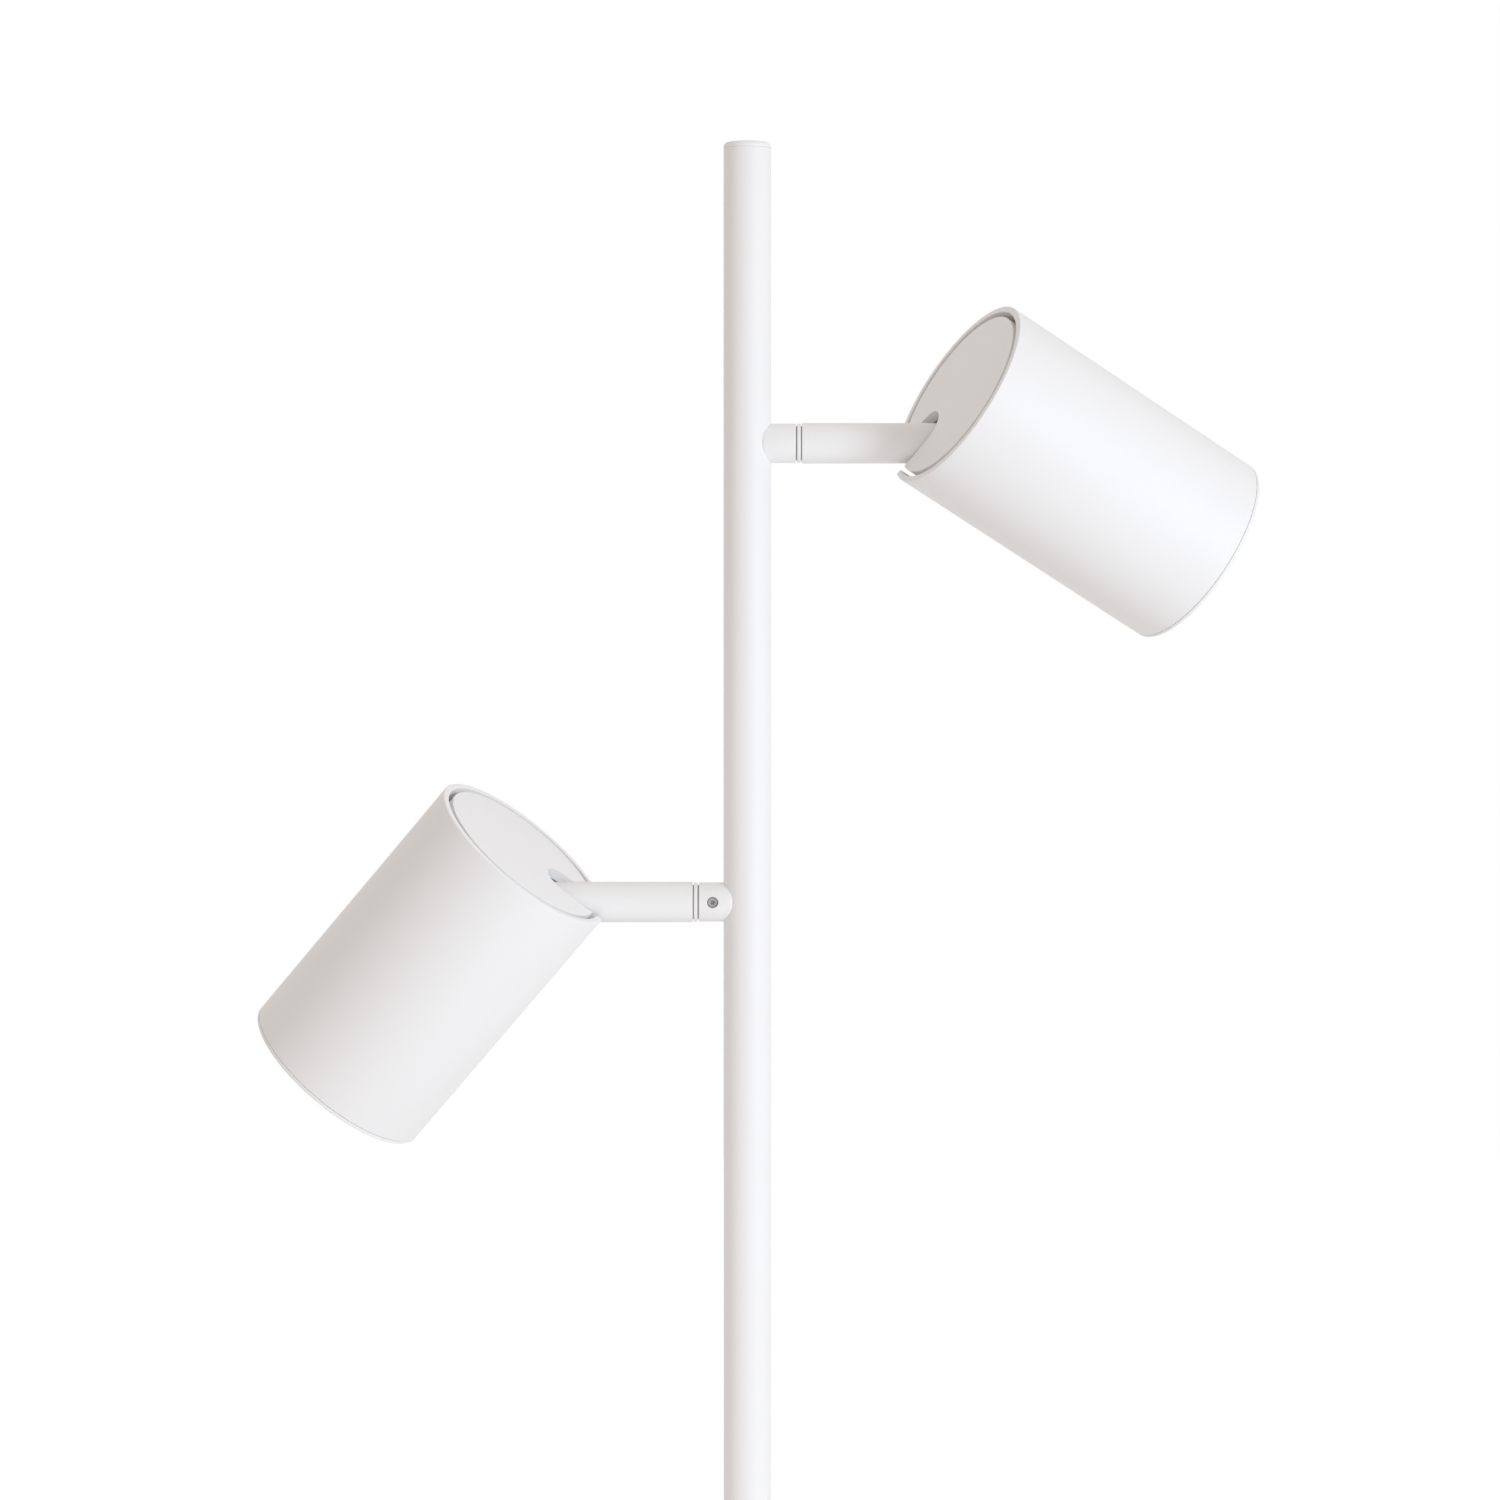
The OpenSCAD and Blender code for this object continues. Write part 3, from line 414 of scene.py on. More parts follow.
# %% [markdown]
# ## The materials
#
# A finish is a Principled shader with its fixed values on its own sockets: coat, metal, glass. What
# changes over the surface comes from a group: the colour drifts between two near shades, the
# roughness between two values, and a bump gives the grain. White powder coat is the one that shows
# in the picture. It is satin, faintly warm in the shade, and has no wear. The plain colours that
# came with the frame go first, so that each finish can have its own name.

# %% Finish helper
for plain in list(bpy.data.materials):
    bpy.data.materials.remove(plain)
finishes = {}
MASK = {peel: "Patch", drawn: "Line", cells: "Cell"}


def finish(name, shade_a, shade_b, rough, group, values, height, bump, metallic=0.0, **sockets):
    """Two shades, a range of roughness, and a group's grain; height in millimetres."""
    material = bpy.data.materials.new(name)
    material.use_nodes = True
    tree = material.node_tree
    shader = tree.nodes["Principled BSDF"]
    shader.inputs["Metallic"].default_value = metallic
    for socket, value in sockets.items():
        shader.inputs[socket.replace("_", " ")].default_value = value
    grain = tree.nodes.new("ShaderNodeGroup")
    grain.node_tree = group
    for socket, value in values.items():
        grain.inputs[socket].default_value = value
    mask = grain.outputs[MASK[group]]
    mix = tree.nodes.new("ShaderNodeMix")
    mix.data_type = "RGBA"
    mix.inputs["A"].default_value = (*shade_a, 1)
    mix.inputs["B"].default_value = (*shade_b, 1)
    tree.links.new(mask, mix.inputs["Factor"])
    tree.links.new(mix.outputs["Result"], shader.inputs["Base Color"])
    gloss = tree.nodes.new("ShaderNodeMapRange")
    gloss.inputs["To Min"].default_value, gloss.inputs["To Max"].default_value = rough
    tree.links.new(mask, gloss.inputs["Value"])
    tree.links.new(gloss.outputs["Result"], shader.inputs["Roughness"])
    surface = tree.nodes.new("ShaderNodeBump")
    surface.inputs["Strength"].default_value = bump
    surface.inputs["Distance"].default_value = height * MM
    tree.links.new(grain.outputs["Height"], surface.inputs["Height"])
    tree.links.new(surface.outputs["Normal"], shader.inputs["Normal"])
    finishes[name] = material


# %% Paint, nylon, ceramic and lead sheath
finish("white_paint", (0.885, 0.88, 0.88), (0.90, 0.90, 0.90), (0.52, 0.62), peel,
       {"Grain per metre": 900.0}, height=0.02, bump=0.25)
finish("black_nylon", (0.011, 0.011, 0.012), (0.02, 0.02, 0.021), (0.4, 0.55), peel,
       {"Grain per metre": 2200.0}, height=0.03, bump=0.4)
finish("terminal_nylon", (0.72, 0.7, 0.62), (0.78, 0.76, 0.68), (0.35, 0.5), peel,
       {"Grain per metre": 1500.0}, height=0.02, bump=0.3, Subsurface_Weight=0.05)
finish("washer_nylon", (0.4, 0.39, 0.38), (0.46, 0.45, 0.44), (0.4, 0.55), peel,
       {"Grain per metre": 1800.0}, height=0.02, bump=0.3)
finish("lead_sheath", (0.74, 0.73, 0.71), (0.8, 0.79, 0.77), (0.45, 0.6), peel,
       {"Grain per metre": 1500.0}, height=0.02, bump=0.3)
finish("holder_ceramic", (0.72, 0.69, 0.62), (0.8, 0.77, 0.7), (0.5, 0.7), peel,
       {"Grain per metre": 2600.0, "Patch per metre": 120.0}, height=0.05, bump=0.5)
finish("lamp_plastic", (0.82, 0.82, 0.81), (0.86, 0.86, 0.85), (0.25, 0.35), peel,
       {"Grain per metre": 1200.0}, height=0.01, bump=0.2)

# %% Metals with drawn lines
finish("zinc_plate", (0.52, 0.54, 0.57), (0.66, 0.68, 0.7), (0.28, 0.42), drawn,
       {"Across per metre": 4000.0}, height=0.01, bump=0.3, metallic=1.0)
finish("threaded_steel", (0.42, 0.43, 0.45), (0.55, 0.56, 0.58), (0.3, 0.45), drawn,
       {"Across per metre": 900.0, "Stretch": 4.0}, height=0.1, bump=0.5, metallic=1.0)
finish("bright_steel", (0.68, 0.68, 0.7), (0.8, 0.8, 0.82), (0.12, 0.22), drawn,
       {"Across per metre": 5000.0}, height=0.005, bump=0.2, metallic=1.0)
# The grub screw's steel is darker than the other screws'. This is partly dark steel and partly painted shade,
# standing in for the shadow in its recess and socket.
finish("grub_steel", (0.38, 0.365, 0.365), (0.48, 0.465, 0.465), (0.3, 0.42), drawn,
       {"Across per metre": 5000.0}, height=0.005, bump=0.2, metallic=0.3)
finish("brass", (0.62, 0.45, 0.17), (0.72, 0.55, 0.24), (0.2, 0.34), drawn,
       {"Across per metre": 5000.0}, height=0.005, bump=0.3, metallic=1.0)

# %% Iron, foam and lens with cells
finish("cast_iron", (0.035, 0.035, 0.038), (0.08, 0.08, 0.085), (0.6, 0.8), cells,
       {"Cells per metre": 900.0}, height=0.3, bump=0.6)
finish("foam", (0.012, 0.012, 0.013), (0.03, 0.03, 0.032), (0.75, 0.95), cells,
       {"Cells per metre": 1600.0}, height=0.4, bump=0.8)
finish("lamp_lens", (0.86, 0.88, 0.9), (0.92, 0.93, 0.94), (0.12, 0.2), cells,
       {"Cells per metre": 420.0}, height=0.25, bump=0.35, Transmission_Weight=0.6, IOR=1.49)
print("Finishes:", list(finishes))

# %% [markdown]
# ## The pole
#
# The pole is three lengths of steel tube, 16 mm across, screwed together end to end. Each end has a
# small rounding under the paint, so a seam shows as a fine line. The upper tube has a hole for each
# arm's stud. The whole pole could be one long cylinder, but then the seams would be missing.

# %% Pole tubes
POLE_R = 8.0
POLE_BORE_R = 6.8
ARM_HOLE_R = 4.05
for node in ("pole_lower", "pole_middle", "pole_upper"):
    low, high = (corner.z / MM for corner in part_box(node))
    tube = turned(node + "_tube", [(POLE_BORE_R, low, 0.15), (POLE_R, low, 0.3),
                                   (POLE_R, high, 0.3), (POLE_BORE_R, high, 0.15)], steps=3)
    if node == "pole_upper":
        for side in SIDES:
            combine(tube, move(make_cylinder(ARM_HOLE_R, 0, 12), knuckle_place(side)))
    fit(tube, "stand", "white_paint", node)
    print(node, "from", round(low, 1), "to", round(high, 1), "mm,", len(tube.data.polygons),
          "faces")

# %% Pole cap
PLUG_R = 6.75           # the plug that goes into the tube, and its own bore
PLUG_BORE_R = 5.2
low, high = (corner.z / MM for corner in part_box("pole_cap"))
seat = high - 2.0
cap = turned("pole_cap_plug", [
    (0, seat, 0), (PLUG_BORE_R, seat, 0), (PLUG_BORE_R, low, 0.3), (PLUG_R, low, 0.4),
    (PLUG_R, seat, 0), (POLE_R, seat, 0.2), (POLE_R, high, 1.5), (0, high, 0)])
fit(cap, "stand", "white_paint", "pole_cap")
print("Cap:", [round(v / MM, 1) for v in cap.dimensions])

# %% [markdown]
# ## The base
#
# A floor lamp like this stands on a pressed steel cover over a cast weight. The cover is one sheet,
# rounded over at the top edge, with a hole for the stud in the middle and one for the cord's bush
# at the back. It stays a millimetre off the floor, and a foam pad under the bottom plate carries
# the lamp. Both are turned from their section, so that the wall has its real thickness also where
# it is seen from below.

# %% Base cover
COVER_R = 110.0
COVER_T = 1.5
COVER_HOLE_R = 5.05     # for the stud in the middle, and for the bush
INLET_Z = 10.5
low, high = (corner.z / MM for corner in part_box("base_cover"))
cover = turned("base_cover_shell", [
    (COVER_HOLE_R, high, 0.3), (COVER_R, high, 4.0), (COVER_R, low, 0.5),
    (COVER_R - COVER_T, low, 0.5), (COVER_R - COVER_T, high - COVER_T, 2.5),
    (COVER_HOLE_R, high - COVER_T, 0.2)], sides=256, steps=8)
inlet_place = shift(0, COVER_R, INLET_Z) @ turn(-90, "X")
combine(cover, move(make_cylinder(COVER_HOLE_R, -4, 3), inlet_place))
fit(cover, "stand", "white_paint", "base_cover")
print("Cover:", [round(v / MM, 1) for v in cover.dimensions])

# %% Foot pad
PLATE_SCREW_CIRCLE = 75
CLAMP_SCREW_Y = 38
ACCESS_HOLE_R = 6
low, high = (corner.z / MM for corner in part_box("base_pad"))
PAD_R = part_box("base_pad")[1].x / MM
pad = turned("foot_pad", [(0, low, 0), (PAD_R, low, 0.6), (PAD_R, high, 0.2), (0, high, 0)],
             sides=192, steps=4)
access_holes = [(PLATE_SCREW_CIRCLE * math.cos(math.radians(a)),
                 PLATE_SCREW_CIRCLE * math.sin(math.radians(a))) for a in (30, 150, 270)]
access_holes.append((0, CLAMP_SCREW_Y))
for x, y in access_holes:
    combine(pad, move(make_cylinder(ACCESS_HOLE_R, -1, 3, 48), shift(x, y, 0)))
fit(pad, "stand", "foam", "base_pad")
print("Foot pad:", len(access_holes), "access holes for the screws")

# %% Cord inlet bush
CORD_BORE_R = 3.4
BUSH_R = 5
BUSH_FLANGE_R = 6.8
BARB_R = 5.6            # the lip that snaps in behind the cover's wall
bush = turned("cord_inlet_bush", [
    (CORD_BORE_R, 1.6, 0.6), (BUSH_FLANGE_R, 1.6, 0.8), (BUSH_FLANGE_R, 0, 0.2), (BUSH_R, 0, 0),
    (BUSH_R, -2.1, 0), (BARB_R, -2.1, 0.2), (BARB_R, -3.1, 0.1), (BUSH_R, -3.1, 0),
    (BUSH_R, -10, 0.5), (CORD_BORE_R, -10, 0.4)], sides=64, steps=4)
move(bush, inlet_place)
fit(bush, "stand", "black_nylon", "cord_gland")
print("Bush:", [round(v / MM, 1) for v in bush.dimensions])

# %% [markdown]
# ## The knuckles and their grub screws
#
# A knuckle is a turned boss with a saddle milled to the pole's own radius, so it sits against the
# pole with no gap. Its rounded nose shows as the arc over the pole in the picture. A small steel
# grub screw in a countersunk hole keeps the arm in: it faces the camera on the lower arm, and away
# from it on the upper one, because the two arms are the same part turned half round. Its socket is
# cut six-sided, in a hollow cone.

# %% Knuckle
KNUCKLE_R = 6.6
KNUCKLE_BORE_R = 4.06
KNUCKLE_REACH = 16.3    # from the pole's axis to the knuckle's outer face
NOSE_START = math.sqrt(POLE_R ** 2 - KNUCKLE_R ** 2)
SADDLE_R = POLE_R + 0.05
GRUB_REACH = 11.7
GRUB_HOLE_R = 1.85
SINK_R = 2.75
SINK_DEPTH = 0.9
grub_place = shift(0, 0, GRUB_REACH) @ turn(-90, "X")
knuckle = turned("knuckle_boss", [
    (KNUCKLE_BORE_R, NOSE_START, 0), (KNUCKLE_R, NOSE_START, 1.39),
    (KNUCKLE_R, KNUCKLE_REACH, 0.3), (KNUCKLE_BORE_R, KNUCKLE_REACH, 0.15)], steps=6)
combine(knuckle, move(make_cylinder(SADDLE_R, -14, 14, 256), turn(90, "Y")))
combine(knuckle, move(make_cylinder(GRUB_HOLE_R, 0, 8, 48), grub_place))
clear_selection()
bpy.ops.mesh.primitive_cone_add(vertices=48, radius1=GRUB_HOLE_R * MM, radius2=SINK_R * MM,
                                depth=SINK_DEPTH * MM, location=(0, 0, (KNUCKLE_R + 0.1) * MM))
apply_place()
combine(knuckle, move(bpy.context.object, grub_place))
for_both_sides(knuckle, knuckle_place, None, "white_paint", "_knuckle")
print("Knuckle nose starts", round(NOSE_START, 2), "mm from the pole's axis")

# %% Grub screws
GRUB_R = 1.8
GRUB_BACK = 4.26
GRUB_FACE = KNUCKLE_R - 0.5
DOG_R = 0.8             # the point that runs in the spigot's groove
DOG_TIP = 3.4
CONE_FLOOR = GRUB_FACE - 0.8
screw = turned("grub_screw", [
    (0, DOG_TIP, 0), (DOG_R, DOG_TIP, 0.15), (DOG_R, GRUB_BACK, 0), (GRUB_R, GRUB_BACK, 0.1),
    (GRUB_R, GRUB_FACE - 0.55, 0), (1.3, GRUB_FACE, 0.1), (0.4, CONE_FLOOR, 0),
    (0, CONE_FLOOR, 0)], sides=48, steps=4)
combine(screw, make_cylinder(0.7, GRUB_FACE - 1.6, GRUB_FACE + 1, 6))
screws = [move(copy_of(screw, "grub_screw_" + side), knuckle_place(side) @ grub_place)
          for side in SIDES]
bpy.data.objects.remove(screw)
for each in screws:
    fit(each, "stand", "grub_steel", "grub_screws")
print("Grub screws:", len(screws))

# %% [markdown]
# ## The arms
#
# An arm is a short tube with a turned nose. Between it and the knuckle sit two dark nylon washers
# and a thin ring, which show as two fine grooves. The nose is a half ball with two flats, forked
# for the lead, and it turns on two screws inside the head. The half ball is why the head can tilt a
# quarter turn in its notch.

# %% Swivel rings
WASHER_T = 0.4
RUN_GAP = 0.06
RING_W = 1.2
RING_BORE_R = 4.05
RING_START = KNUCKLE_REACH + RUN_GAP + WASHER_T
RING_END = RING_START + RING_W
swivel = turned("swivel_ring_turned", [
    (RING_BORE_R, RING_START, 0.1), (KNUCKLE_R, RING_START, 0.2), (KNUCKLE_R, RING_END, 0.2),
    (RING_BORE_R, RING_END, 0.1)], steps=3)
for_both_sides(swivel, arm_place, "_arm", "white_paint", "_swivel_ring")
print("Swivel rings from", round(RING_START, 2), "to", round(RING_END, 2), "mm")

# %% Arm tubes
ARM_R = 6.8
ARM_BORE_R = 5.6
ARM_START = RING_END + WASHER_T
ARM_END = PIVOT_REACH + ARM_R - 0.01
NOSE_FLOOR = 55.5       # the wide bore ends here, and the narrow one goes on to the fork
LEAD_BORE_R = 2.2
LEAD_BORE_END = 67.3
FLAT_Y = 5.2
FORK_HALF = 2.3
PIN_HOLE_R = 1.55
arm = turned("arm_tube_turned", [
    (0, LEAD_BORE_END, 0), (LEAD_BORE_R, LEAD_BORE_END, 0), (LEAD_BORE_R, NOSE_FLOOR, 0.3),
    (ARM_BORE_R, NOSE_FLOOR, 0.3), (ARM_BORE_R, ARM_START, 0.1), (ARM_R, ARM_START, 0.3),
    (ARM_R, ARM_END, ARM_R - 0.02), (0, ARM_END, 0)], steps=14)
for y in (FLAT_Y, -FLAT_Y - ARM_R):
    combine(arm, make_box((-8, y, PIVOT_REACH - 5.5), (8, y + ARM_R, PIVOT_REACH + 8)))
combine(arm, make_box((-FORK_HALF, -FORK_HALF, PIVOT_REACH - LEAD_BORE_R),
                      (10, FORK_HALF, PIVOT_REACH + 8)))
combine(arm, move(make_cylinder(PIN_HOLE_R, -8, 8, 32),
                  shift(0, 0, PIVOT_REACH) @ turn(90, "X")))
for_both_sides(arm, arm_place, "_arm", "white_paint", "_arm_tube")
print("Arm:", round(PIVOT_REACH + ARM_R - ARM_START, 1), "mm long")

# %% [markdown]
# ## The heads
#
# A head is a plain tube. Its rear rim has a notch for the arm, and a cap lies almost flush with the
# rim, with a dark gap of 1.8 mm all round it. The cap's slot runs in line with the notch, so the
# arm can swing from straight back to square. Both cuts are rounded about the pivot, so their
# cutters are half-round bars: half a cylinder whose open side is extruded on, past the rim.

# %% Half-round cutter
SLOT_R = 7.5


def half_round_bar(radius, straight, length):
    """Half a cylinder along Z, from 0 to length, whose flat side is extruded along -X."""
    bar = make_cylinder(radius, 0, length)
    bpy.ops.object.mode_set(mode="EDIT")
    bpy.ops.mesh.select_all(action="SELECT")
    bpy.ops.mesh.bisect(plane_co=(0, 0, 0), plane_no=(-1, 0, 0), clear_outer=True, use_fill=True)
    bpy.ops.mesh.select_all(action="DESELECT")
    bpy.ops.object.mode_set(mode="OBJECT")
    for face in bar.data.polygons:
        face.select = face.normal.x < -0.99
    bpy.ops.object.mode_set(mode="EDIT")
    bpy.ops.mesh.select_mode(type="FACE")
    bpy.ops.mesh.extrude_region_move(TRANSFORM_OT_translate={"value": (-straight * MM, 0, 0)})
    bpy.ops.mesh.select_mode(type="VERT")
    bpy.ops.object.mode_set(mode="OBJECT")
    return bar


def notch_cutter():
    """Cuts the rim's notch: it lies along X, in the head's own frame."""
    return move(half_round_bar(SLOT_R, 12, 25),
                shift(PIVOT_OFFSET, 0, PIVOT_DEPTH) @ turn(90, "Y") @ turn(180, "Z"))


def slot_cutter(depth):
    """Cuts the cap's slot: it lies along Z."""
    return move(half_round_bar(SLOT_R, 20, depth), shift(PIVOT_OFFSET, 0, -1) @ turn(180, "Z"))


# %% Head shell
HEAD_R = 34.3
SHELL_IN_R = 32.1
SHELL_END = 101.65
FLANGE_R = 21           # the inner flange that the cap is screwed to
FLANGE_LOW, FLANGE_HIGH = 20, 22
BOSS_ANGLES = (60, 180, 300)
BOSS_CIRCLE = 25
SCREW_HOLE_R = 1.7


def boss_place(angle):
    return turn(angle, "Z") @ shift(BOSS_CIRCLE, 0, 0)


shell = turned("head_shell_tube", [
    (SHELL_IN_R, 0, 0.2), (HEAD_R, 0, 0.5), (HEAD_R, SHELL_END, 0.15),
    (SHELL_IN_R, SHELL_END, 0.1), (SHELL_IN_R, FLANGE_HIGH, 0.2), (FLANGE_R, FLANGE_HIGH, 0.2),
    (FLANGE_R, FLANGE_LOW, 0.2), (SHELL_IN_R, FLANGE_LOW, 0.2)], sides=192)
combine(shell, notch_cutter())
for angle in BOSS_ANGLES:
    hole = make_cylinder(SCREW_HOLE_R, FLANGE_LOW - 1, FLANGE_HIGH + 1, 24)
    combine(shell, move(hole, boss_place(angle)))
softened = soften(shell, 0.3, lambda x, y, z: x > 20 and abs(y) < 8 and -1 < z < 16.5)
print("Edges softened round the notch:", softened)
for_both_sides(shell, head_place, "_head", "white_paint", "_head_shell")

# %% Rear cap
CAP_R = 30.3
CAP_TOP = 0.1           # how far the cap lies below the rim
DISC_INNER = 3.5
SKIRT_R = 28.8
SKIRT_END = 14
BOSS_R = 3.5
THREAD_R = 1.55
rear = turned("rear_cap_slotted", [
    (0, CAP_TOP, 0), (CAP_R, CAP_TOP, 0.25), (CAP_R, SKIRT_END, 0.2), (SKIRT_R, SKIRT_END, 0.2),
    (SKIRT_R, DISC_INNER, 0.3), (0, DISC_INNER, 0)], sides=192)
for angle in BOSS_ANGLES:
    boss = move(make_cylinder(BOSS_R, DISC_INNER - 0.3, FLANGE_LOW, 32), boss_place(angle))
    combine(rear, boss, "UNION")
    thread = make_cylinder(THREAD_R, SKIRT_END, FLANGE_LOW + 1, 24)
    combine(rear, move(thread, boss_place(angle)))
combine(rear, slot_cutter(9.5))
combine(rear, notch_cutter())
softened = soften(rear, 0.25, lambda x, y, z: x > 9 and abs(y) < 8 and z < CAP_TOP + 0.2)
print("Edges softened round the slot:", softened)
for_both_sides(rear, head_place, "_head", "white_paint", "_rear_cap")

# %% Front ring
HEAD_LEN = 103.0
FACE_START = 101.8      # the ring's visible face; the skirt behind it goes into the shell
FACE_BORE_R = 27
COLLAR_START = 91.8
COLLAR_IN_R, COLLAR_R = 30.65, 32.05
front = turned("front_ring_turned", [
    (FACE_BORE_R, FACE_START, 0.1), (COLLAR_IN_R, FACE_START, 0), (COLLAR_IN_R, COLLAR_START, 0.3),
    (COLLAR_R, COLLAR_START, 0.3), (COLLAR_R, FACE_START, 0), (HEAD_R, FACE_START, 0.15),
    (HEAD_R, HEAD_LEN, 0.5), (FACE_BORE_R, HEAD_LEN, 0.3)], sides=192)
for_both_sides(front, head_place, "_head", "white_paint", "_front_ring")
print("Front ring leaves a line of", round(FACE_START - SHELL_END, 2), "mm beside the shell")

# %% [markdown]
# ## The lamps
#
# Each head holds a 50 mm twist-lock spot lamp. From the front only its rim and lens show. The lens
# is a clear dome over the light source, with fine stepped rings round it that spread the beam. The
# body behind it flares from the neck to the rim, with cooling ribs: every other strip of its faces
# is pushed in.

# %% Lamp body
LAMP_Z = 40.3           # the back of the lamp's neck, from the head's rear rim
NECK_R = 11.5
NECK_END = LAMP_Z + 12
BULB_R = 25
FLARE_END = LAMP_Z + 39
BULB_END = LAMP_Z + 50
LENS_SEAT_R = 22.5
LENS_BACK = LAMP_Z + 47.5
lamp = turned("lamp_body_ribbed", [
    (0, LAMP_Z, 0), (NECK_R, LAMP_Z, 0.6), (NECK_R, NECK_END, 0), (NECK_R + 1, NECK_END, 0.2),
    (BULB_R, FLARE_END, 0.3), (BULB_R, BULB_END, 0.8), (LENS_SEAT_R, BULB_END, 0.2),
    (LENS_SEAT_R, LENS_BACK, 0), (0, LENS_BACK, 0)], sides=96)

# %% Cooling ribs
RIB_PITCH = 15          # degrees; a strip from 4 to 11 of them is pushed in
clear_selection()
bpy.context.view_layer.objects.active = lamp
for face in lamp.data.polygons:
    angle = math.degrees(math.atan2(face.center.y, face.center.x)) % RIB_PITCH
    on_flare = NECK_END + 2 < face.center.z / MM < FLARE_END - 1
    face.select = on_flare and 4 < angle < 11 and face.normal.xy.dot(face.center.xy) > 0
print("Faces between the ribs:", sum(face.select for face in lamp.data.polygons))
bpy.ops.object.mode_set(mode="EDIT")
bpy.ops.mesh.select_mode(type="FACE")
bpy.ops.mesh.inset(thickness=0.35 * MM, depth=-0.9 * MM)
bpy.ops.mesh.select_mode(type="VERT")
bpy.ops.object.mode_set(mode="OBJECT")
for_both_sides(lamp, head_place, "_lamp", "lamp_plastic", "_lamp_body")

# %% Lamp lens
LENS_R = 22.45
LENS_RINGS = 6
section = [(0, LENS_BACK, 0), (LENS_R, LENS_BACK, 0), (LENS_R, LENS_BACK + 1.9, 0.2)]
for k in range(LENS_RINGS):
    crest = LENS_R - 0.6 - 2 * k
    section += [(crest, LENS_BACK + 2.0, 0.1), (crest - 1.7, LENS_BACK + 1.3, 0.1)]
section += [(9.2, LENS_BACK + 1.9, 0.1), (6.6, LENS_BACK + 2.35, 0.1),
            (3.4, LENS_BACK + 2.48, 0.1), (0, LENS_BACK + 2.5, 0)]
lens = turned("lamp_lens_stepped", section, sides=96, steps=2)
for_both_sides(lens, head_place, "_lamp", "lamp_lens", "_lamp_lens")
print("Lens:", LENS_R * 2, "mm across with", LENS_RINGS, "rings")

# %% [markdown]
# ## The pieces that stay as they are
#
# Fasteners, leads, the weight and the parts inside the heads have their right shape in the frame
# already. Each only needs its finish, which comes from the material slot that the record gives it.

# %% Dress the frame's own solids
slot_of = {row["node"]: row["material_slot"] for row in frame["record"]["subparts"]}
dressed = 0
for name, node in frame["nodes"].items():
    for slot in node.material_slots:
        slot.material = finishes[slot_of[name]]
        dressed += 1
print("Solids with a finish:", dressed)

# %% [markdown]
# ## Floor and light
#
# The picture has a pure white ground, while the lamp itself is softly shaded: darker and faintly
# warm on its left, bright on its right. So the white comes from the world and the floor as the
# camera sees them, and not from more light. Even, slightly warm light comes from all round. One
# soft lamp in front on the right, level with the spots, gives the shape: the upper head throws its
# soft shadow edge straight to the left along its arm. A weak one from below stands for the light
# that a white floor sends back.

# %% World
world = bpy.data.worlds.new("studio")
bpy.context.scene.world = world
world.use_nodes = True
sky = world.node_tree
ambient = sky.nodes["Background"]
ambient.inputs["Color"].default_value = (0.682, 0.634, 0.602, 1)


def calculate(tree, operation, a, b):
    """A math node of the output a and of b, a number or an output."""
    node = tree.nodes.new("ShaderNodeMath")
    node.operation = operation
    tree.links.new(a, node.inputs[0])
    if isinstance(b, (int, float)):
        node.inputs[1].default_value = b
    else:
        tree.links.new(b, node.inputs[1])
    return node.outputs["Value"]


def seen_directly(tree):
    """1 for the camera, in mirrors and through glass; 0 for light on a surface."""
    rays = tree.nodes.new("ShaderNodeLightPath")
    total = rays.outputs["Is Camera Ray"]
    for name in ("Is Glossy Ray", "Is Transmission Ray"):
        total = calculate(tree, "MAXIMUM", total, rays.outputs[name])
    return total


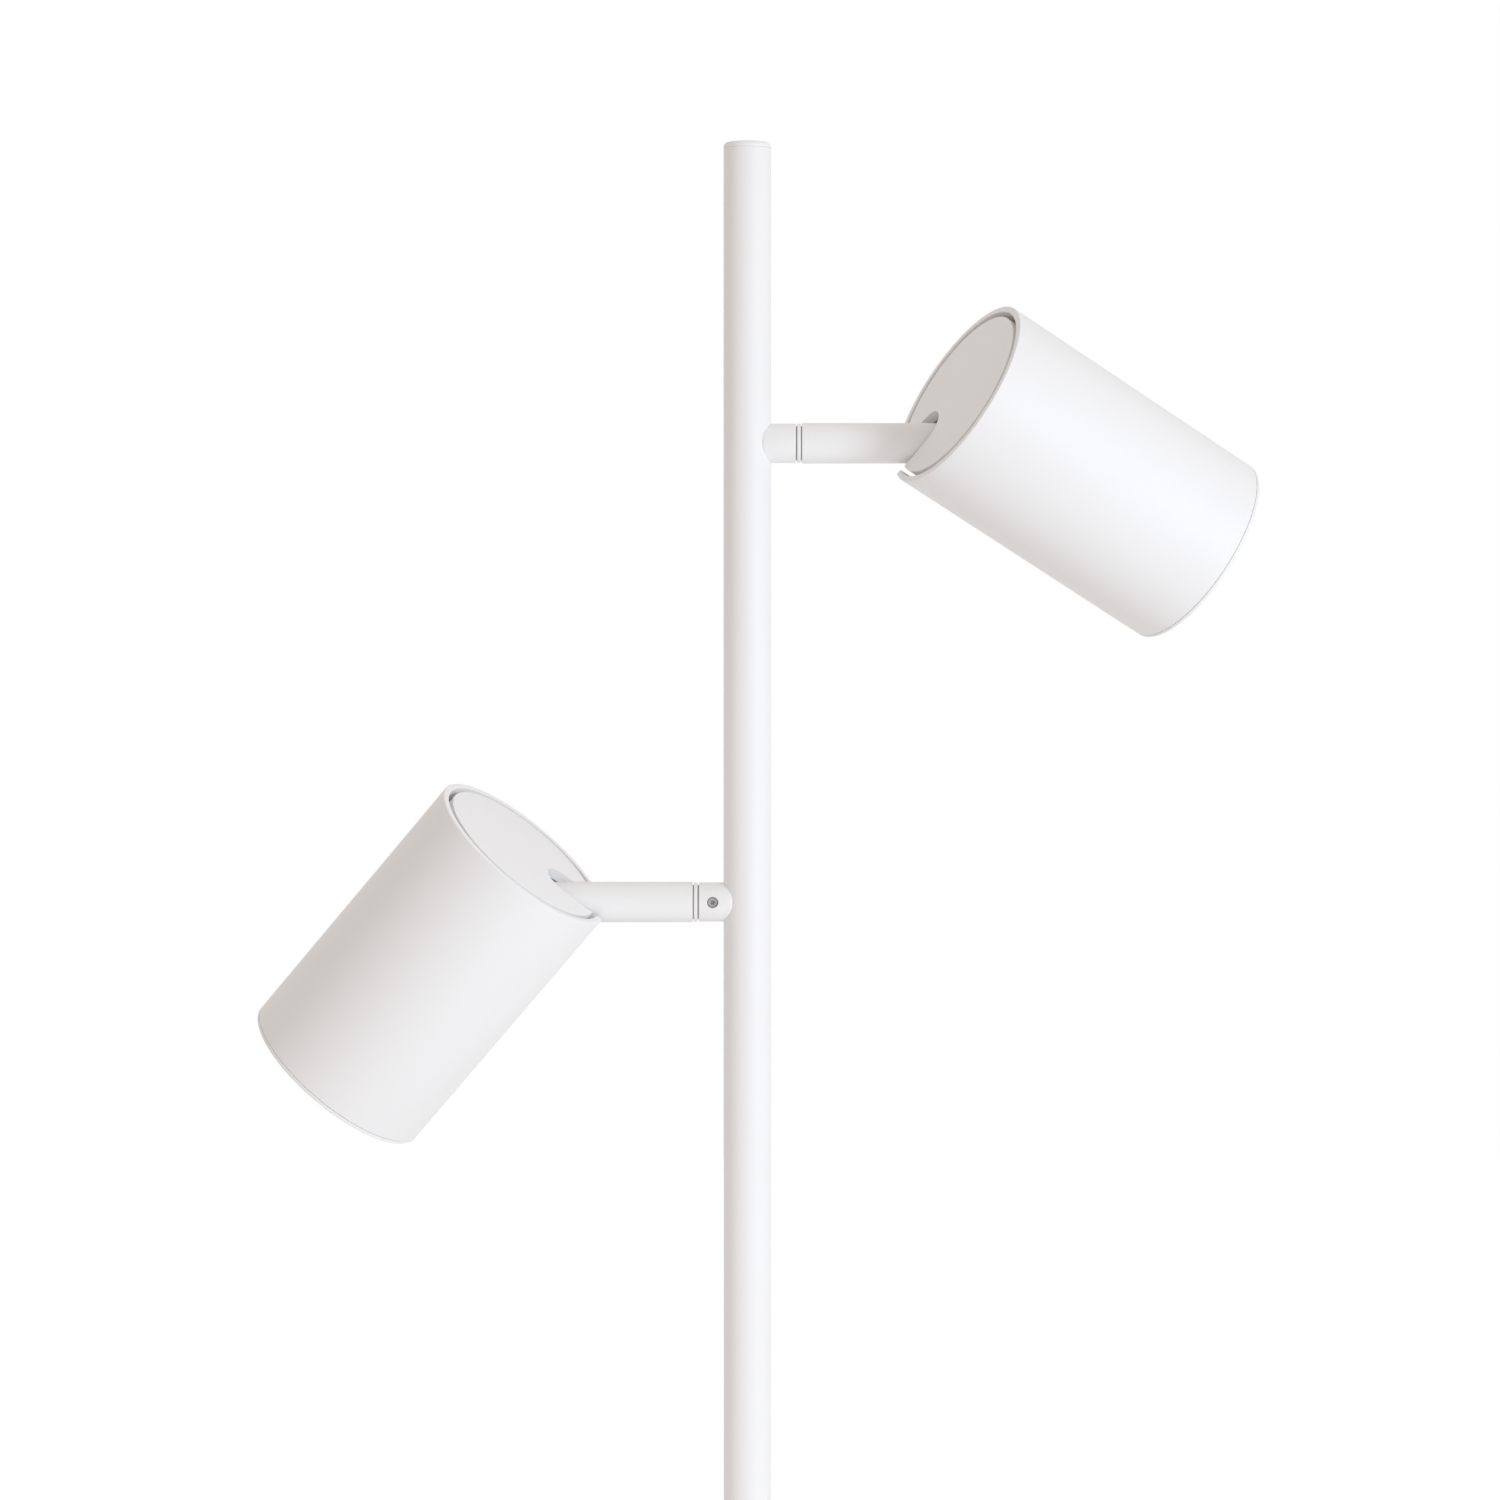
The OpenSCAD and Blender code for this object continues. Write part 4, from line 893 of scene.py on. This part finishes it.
backdrop = sky.nodes.new("ShaderNodeBackground")
backdrop.inputs["Color"].default_value = (1, 1, 1, 1)
choose = sky.nodes.new("ShaderNodeMixShader")
sky.links.new(seen_directly(sky), choose.inputs["Fac"])
sky.links.new(ambient.outputs["Background"], choose.inputs[1])
sky.links.new(backdrop.outputs["Background"], choose.inputs[2])
sky.links.new(choose.outputs["Shader"], sky.nodes["World Output"].inputs["Surface"])
print("World light:", [round(v, 3) for v in ambient.inputs["Color"].default_value[:3]])

# %% Floor
FLOOR_WIDTH = 30        # metres
FLOOR_LIFT = 0.6        # makes the floor white for the camera, and keeps the lamp's shadow
clear_selection()
bpy.ops.mesh.primitive_plane_add(size=FLOOR_WIDTH, location=(0, 0, 0))
floor = bpy.context.object
floor.name = "floor"
pale = bpy.data.materials.new("pale_floor")
pale.use_nodes = True
ground = pale.node_tree.nodes["Principled BSDF"]
ground.inputs["Base Color"].default_value = (0.8, 0.8, 0.8, 1)
ground.inputs["Roughness"].default_value = 0.9
ground.inputs["Specular IOR Level"].default_value = 0.1
ground.inputs["Emission Color"].default_value = (1, 1, 1, 1)
lift = calculate(pale.node_tree, "MULTIPLY", seen_directly(pale.node_tree), FLOOR_LIFT)
pale.node_tree.links.new(lift, ground.inputs["Emission Strength"])
floor.data.materials.append(pale)
floor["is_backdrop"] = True
print("Floor:", FLOOR_WIDTH, "m wide")

# %% Lamps of the studio
LIGHT_AIM = Vector((0, 0, 1.25))        # the middle of the two spots, in metres


def soft_light(name, direction, distance, size, power, colour):
    """A square soft lamp that looks at the middle of the two spots; metres and watts."""
    way = Vector(direction).normalized()
    bpy.ops.object.light_add(type="AREA", location=LIGHT_AIM + way * distance)
    light = bpy.context.object
    light.name = name
    light.rotation_euler = way.to_track_quat("Z", "Y").to_euler()
    light.data.size = size
    light.data.energy = power
    light.data.color = colour


soft_light("key", (0.704, -0.704, 0.09), 2.4, 0.6, 25, (0.78, 0.885, 1.0))
soft_light("bounce", (-0.1, -0.42, -0.9), 1.2, 1.0, 2.1, (0.98, 0.98, 1.0))
bpy.context.scene.view_settings.view_transform = "Standard"

# %% [markdown]
# ## Close
# The dressed lamp must be as large as the solid one, so its size is printed.

# %% Size of the dressed model
low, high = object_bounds()
print("The dressed model measures", [round(v / MM, 1) for v in high - low], "mm")
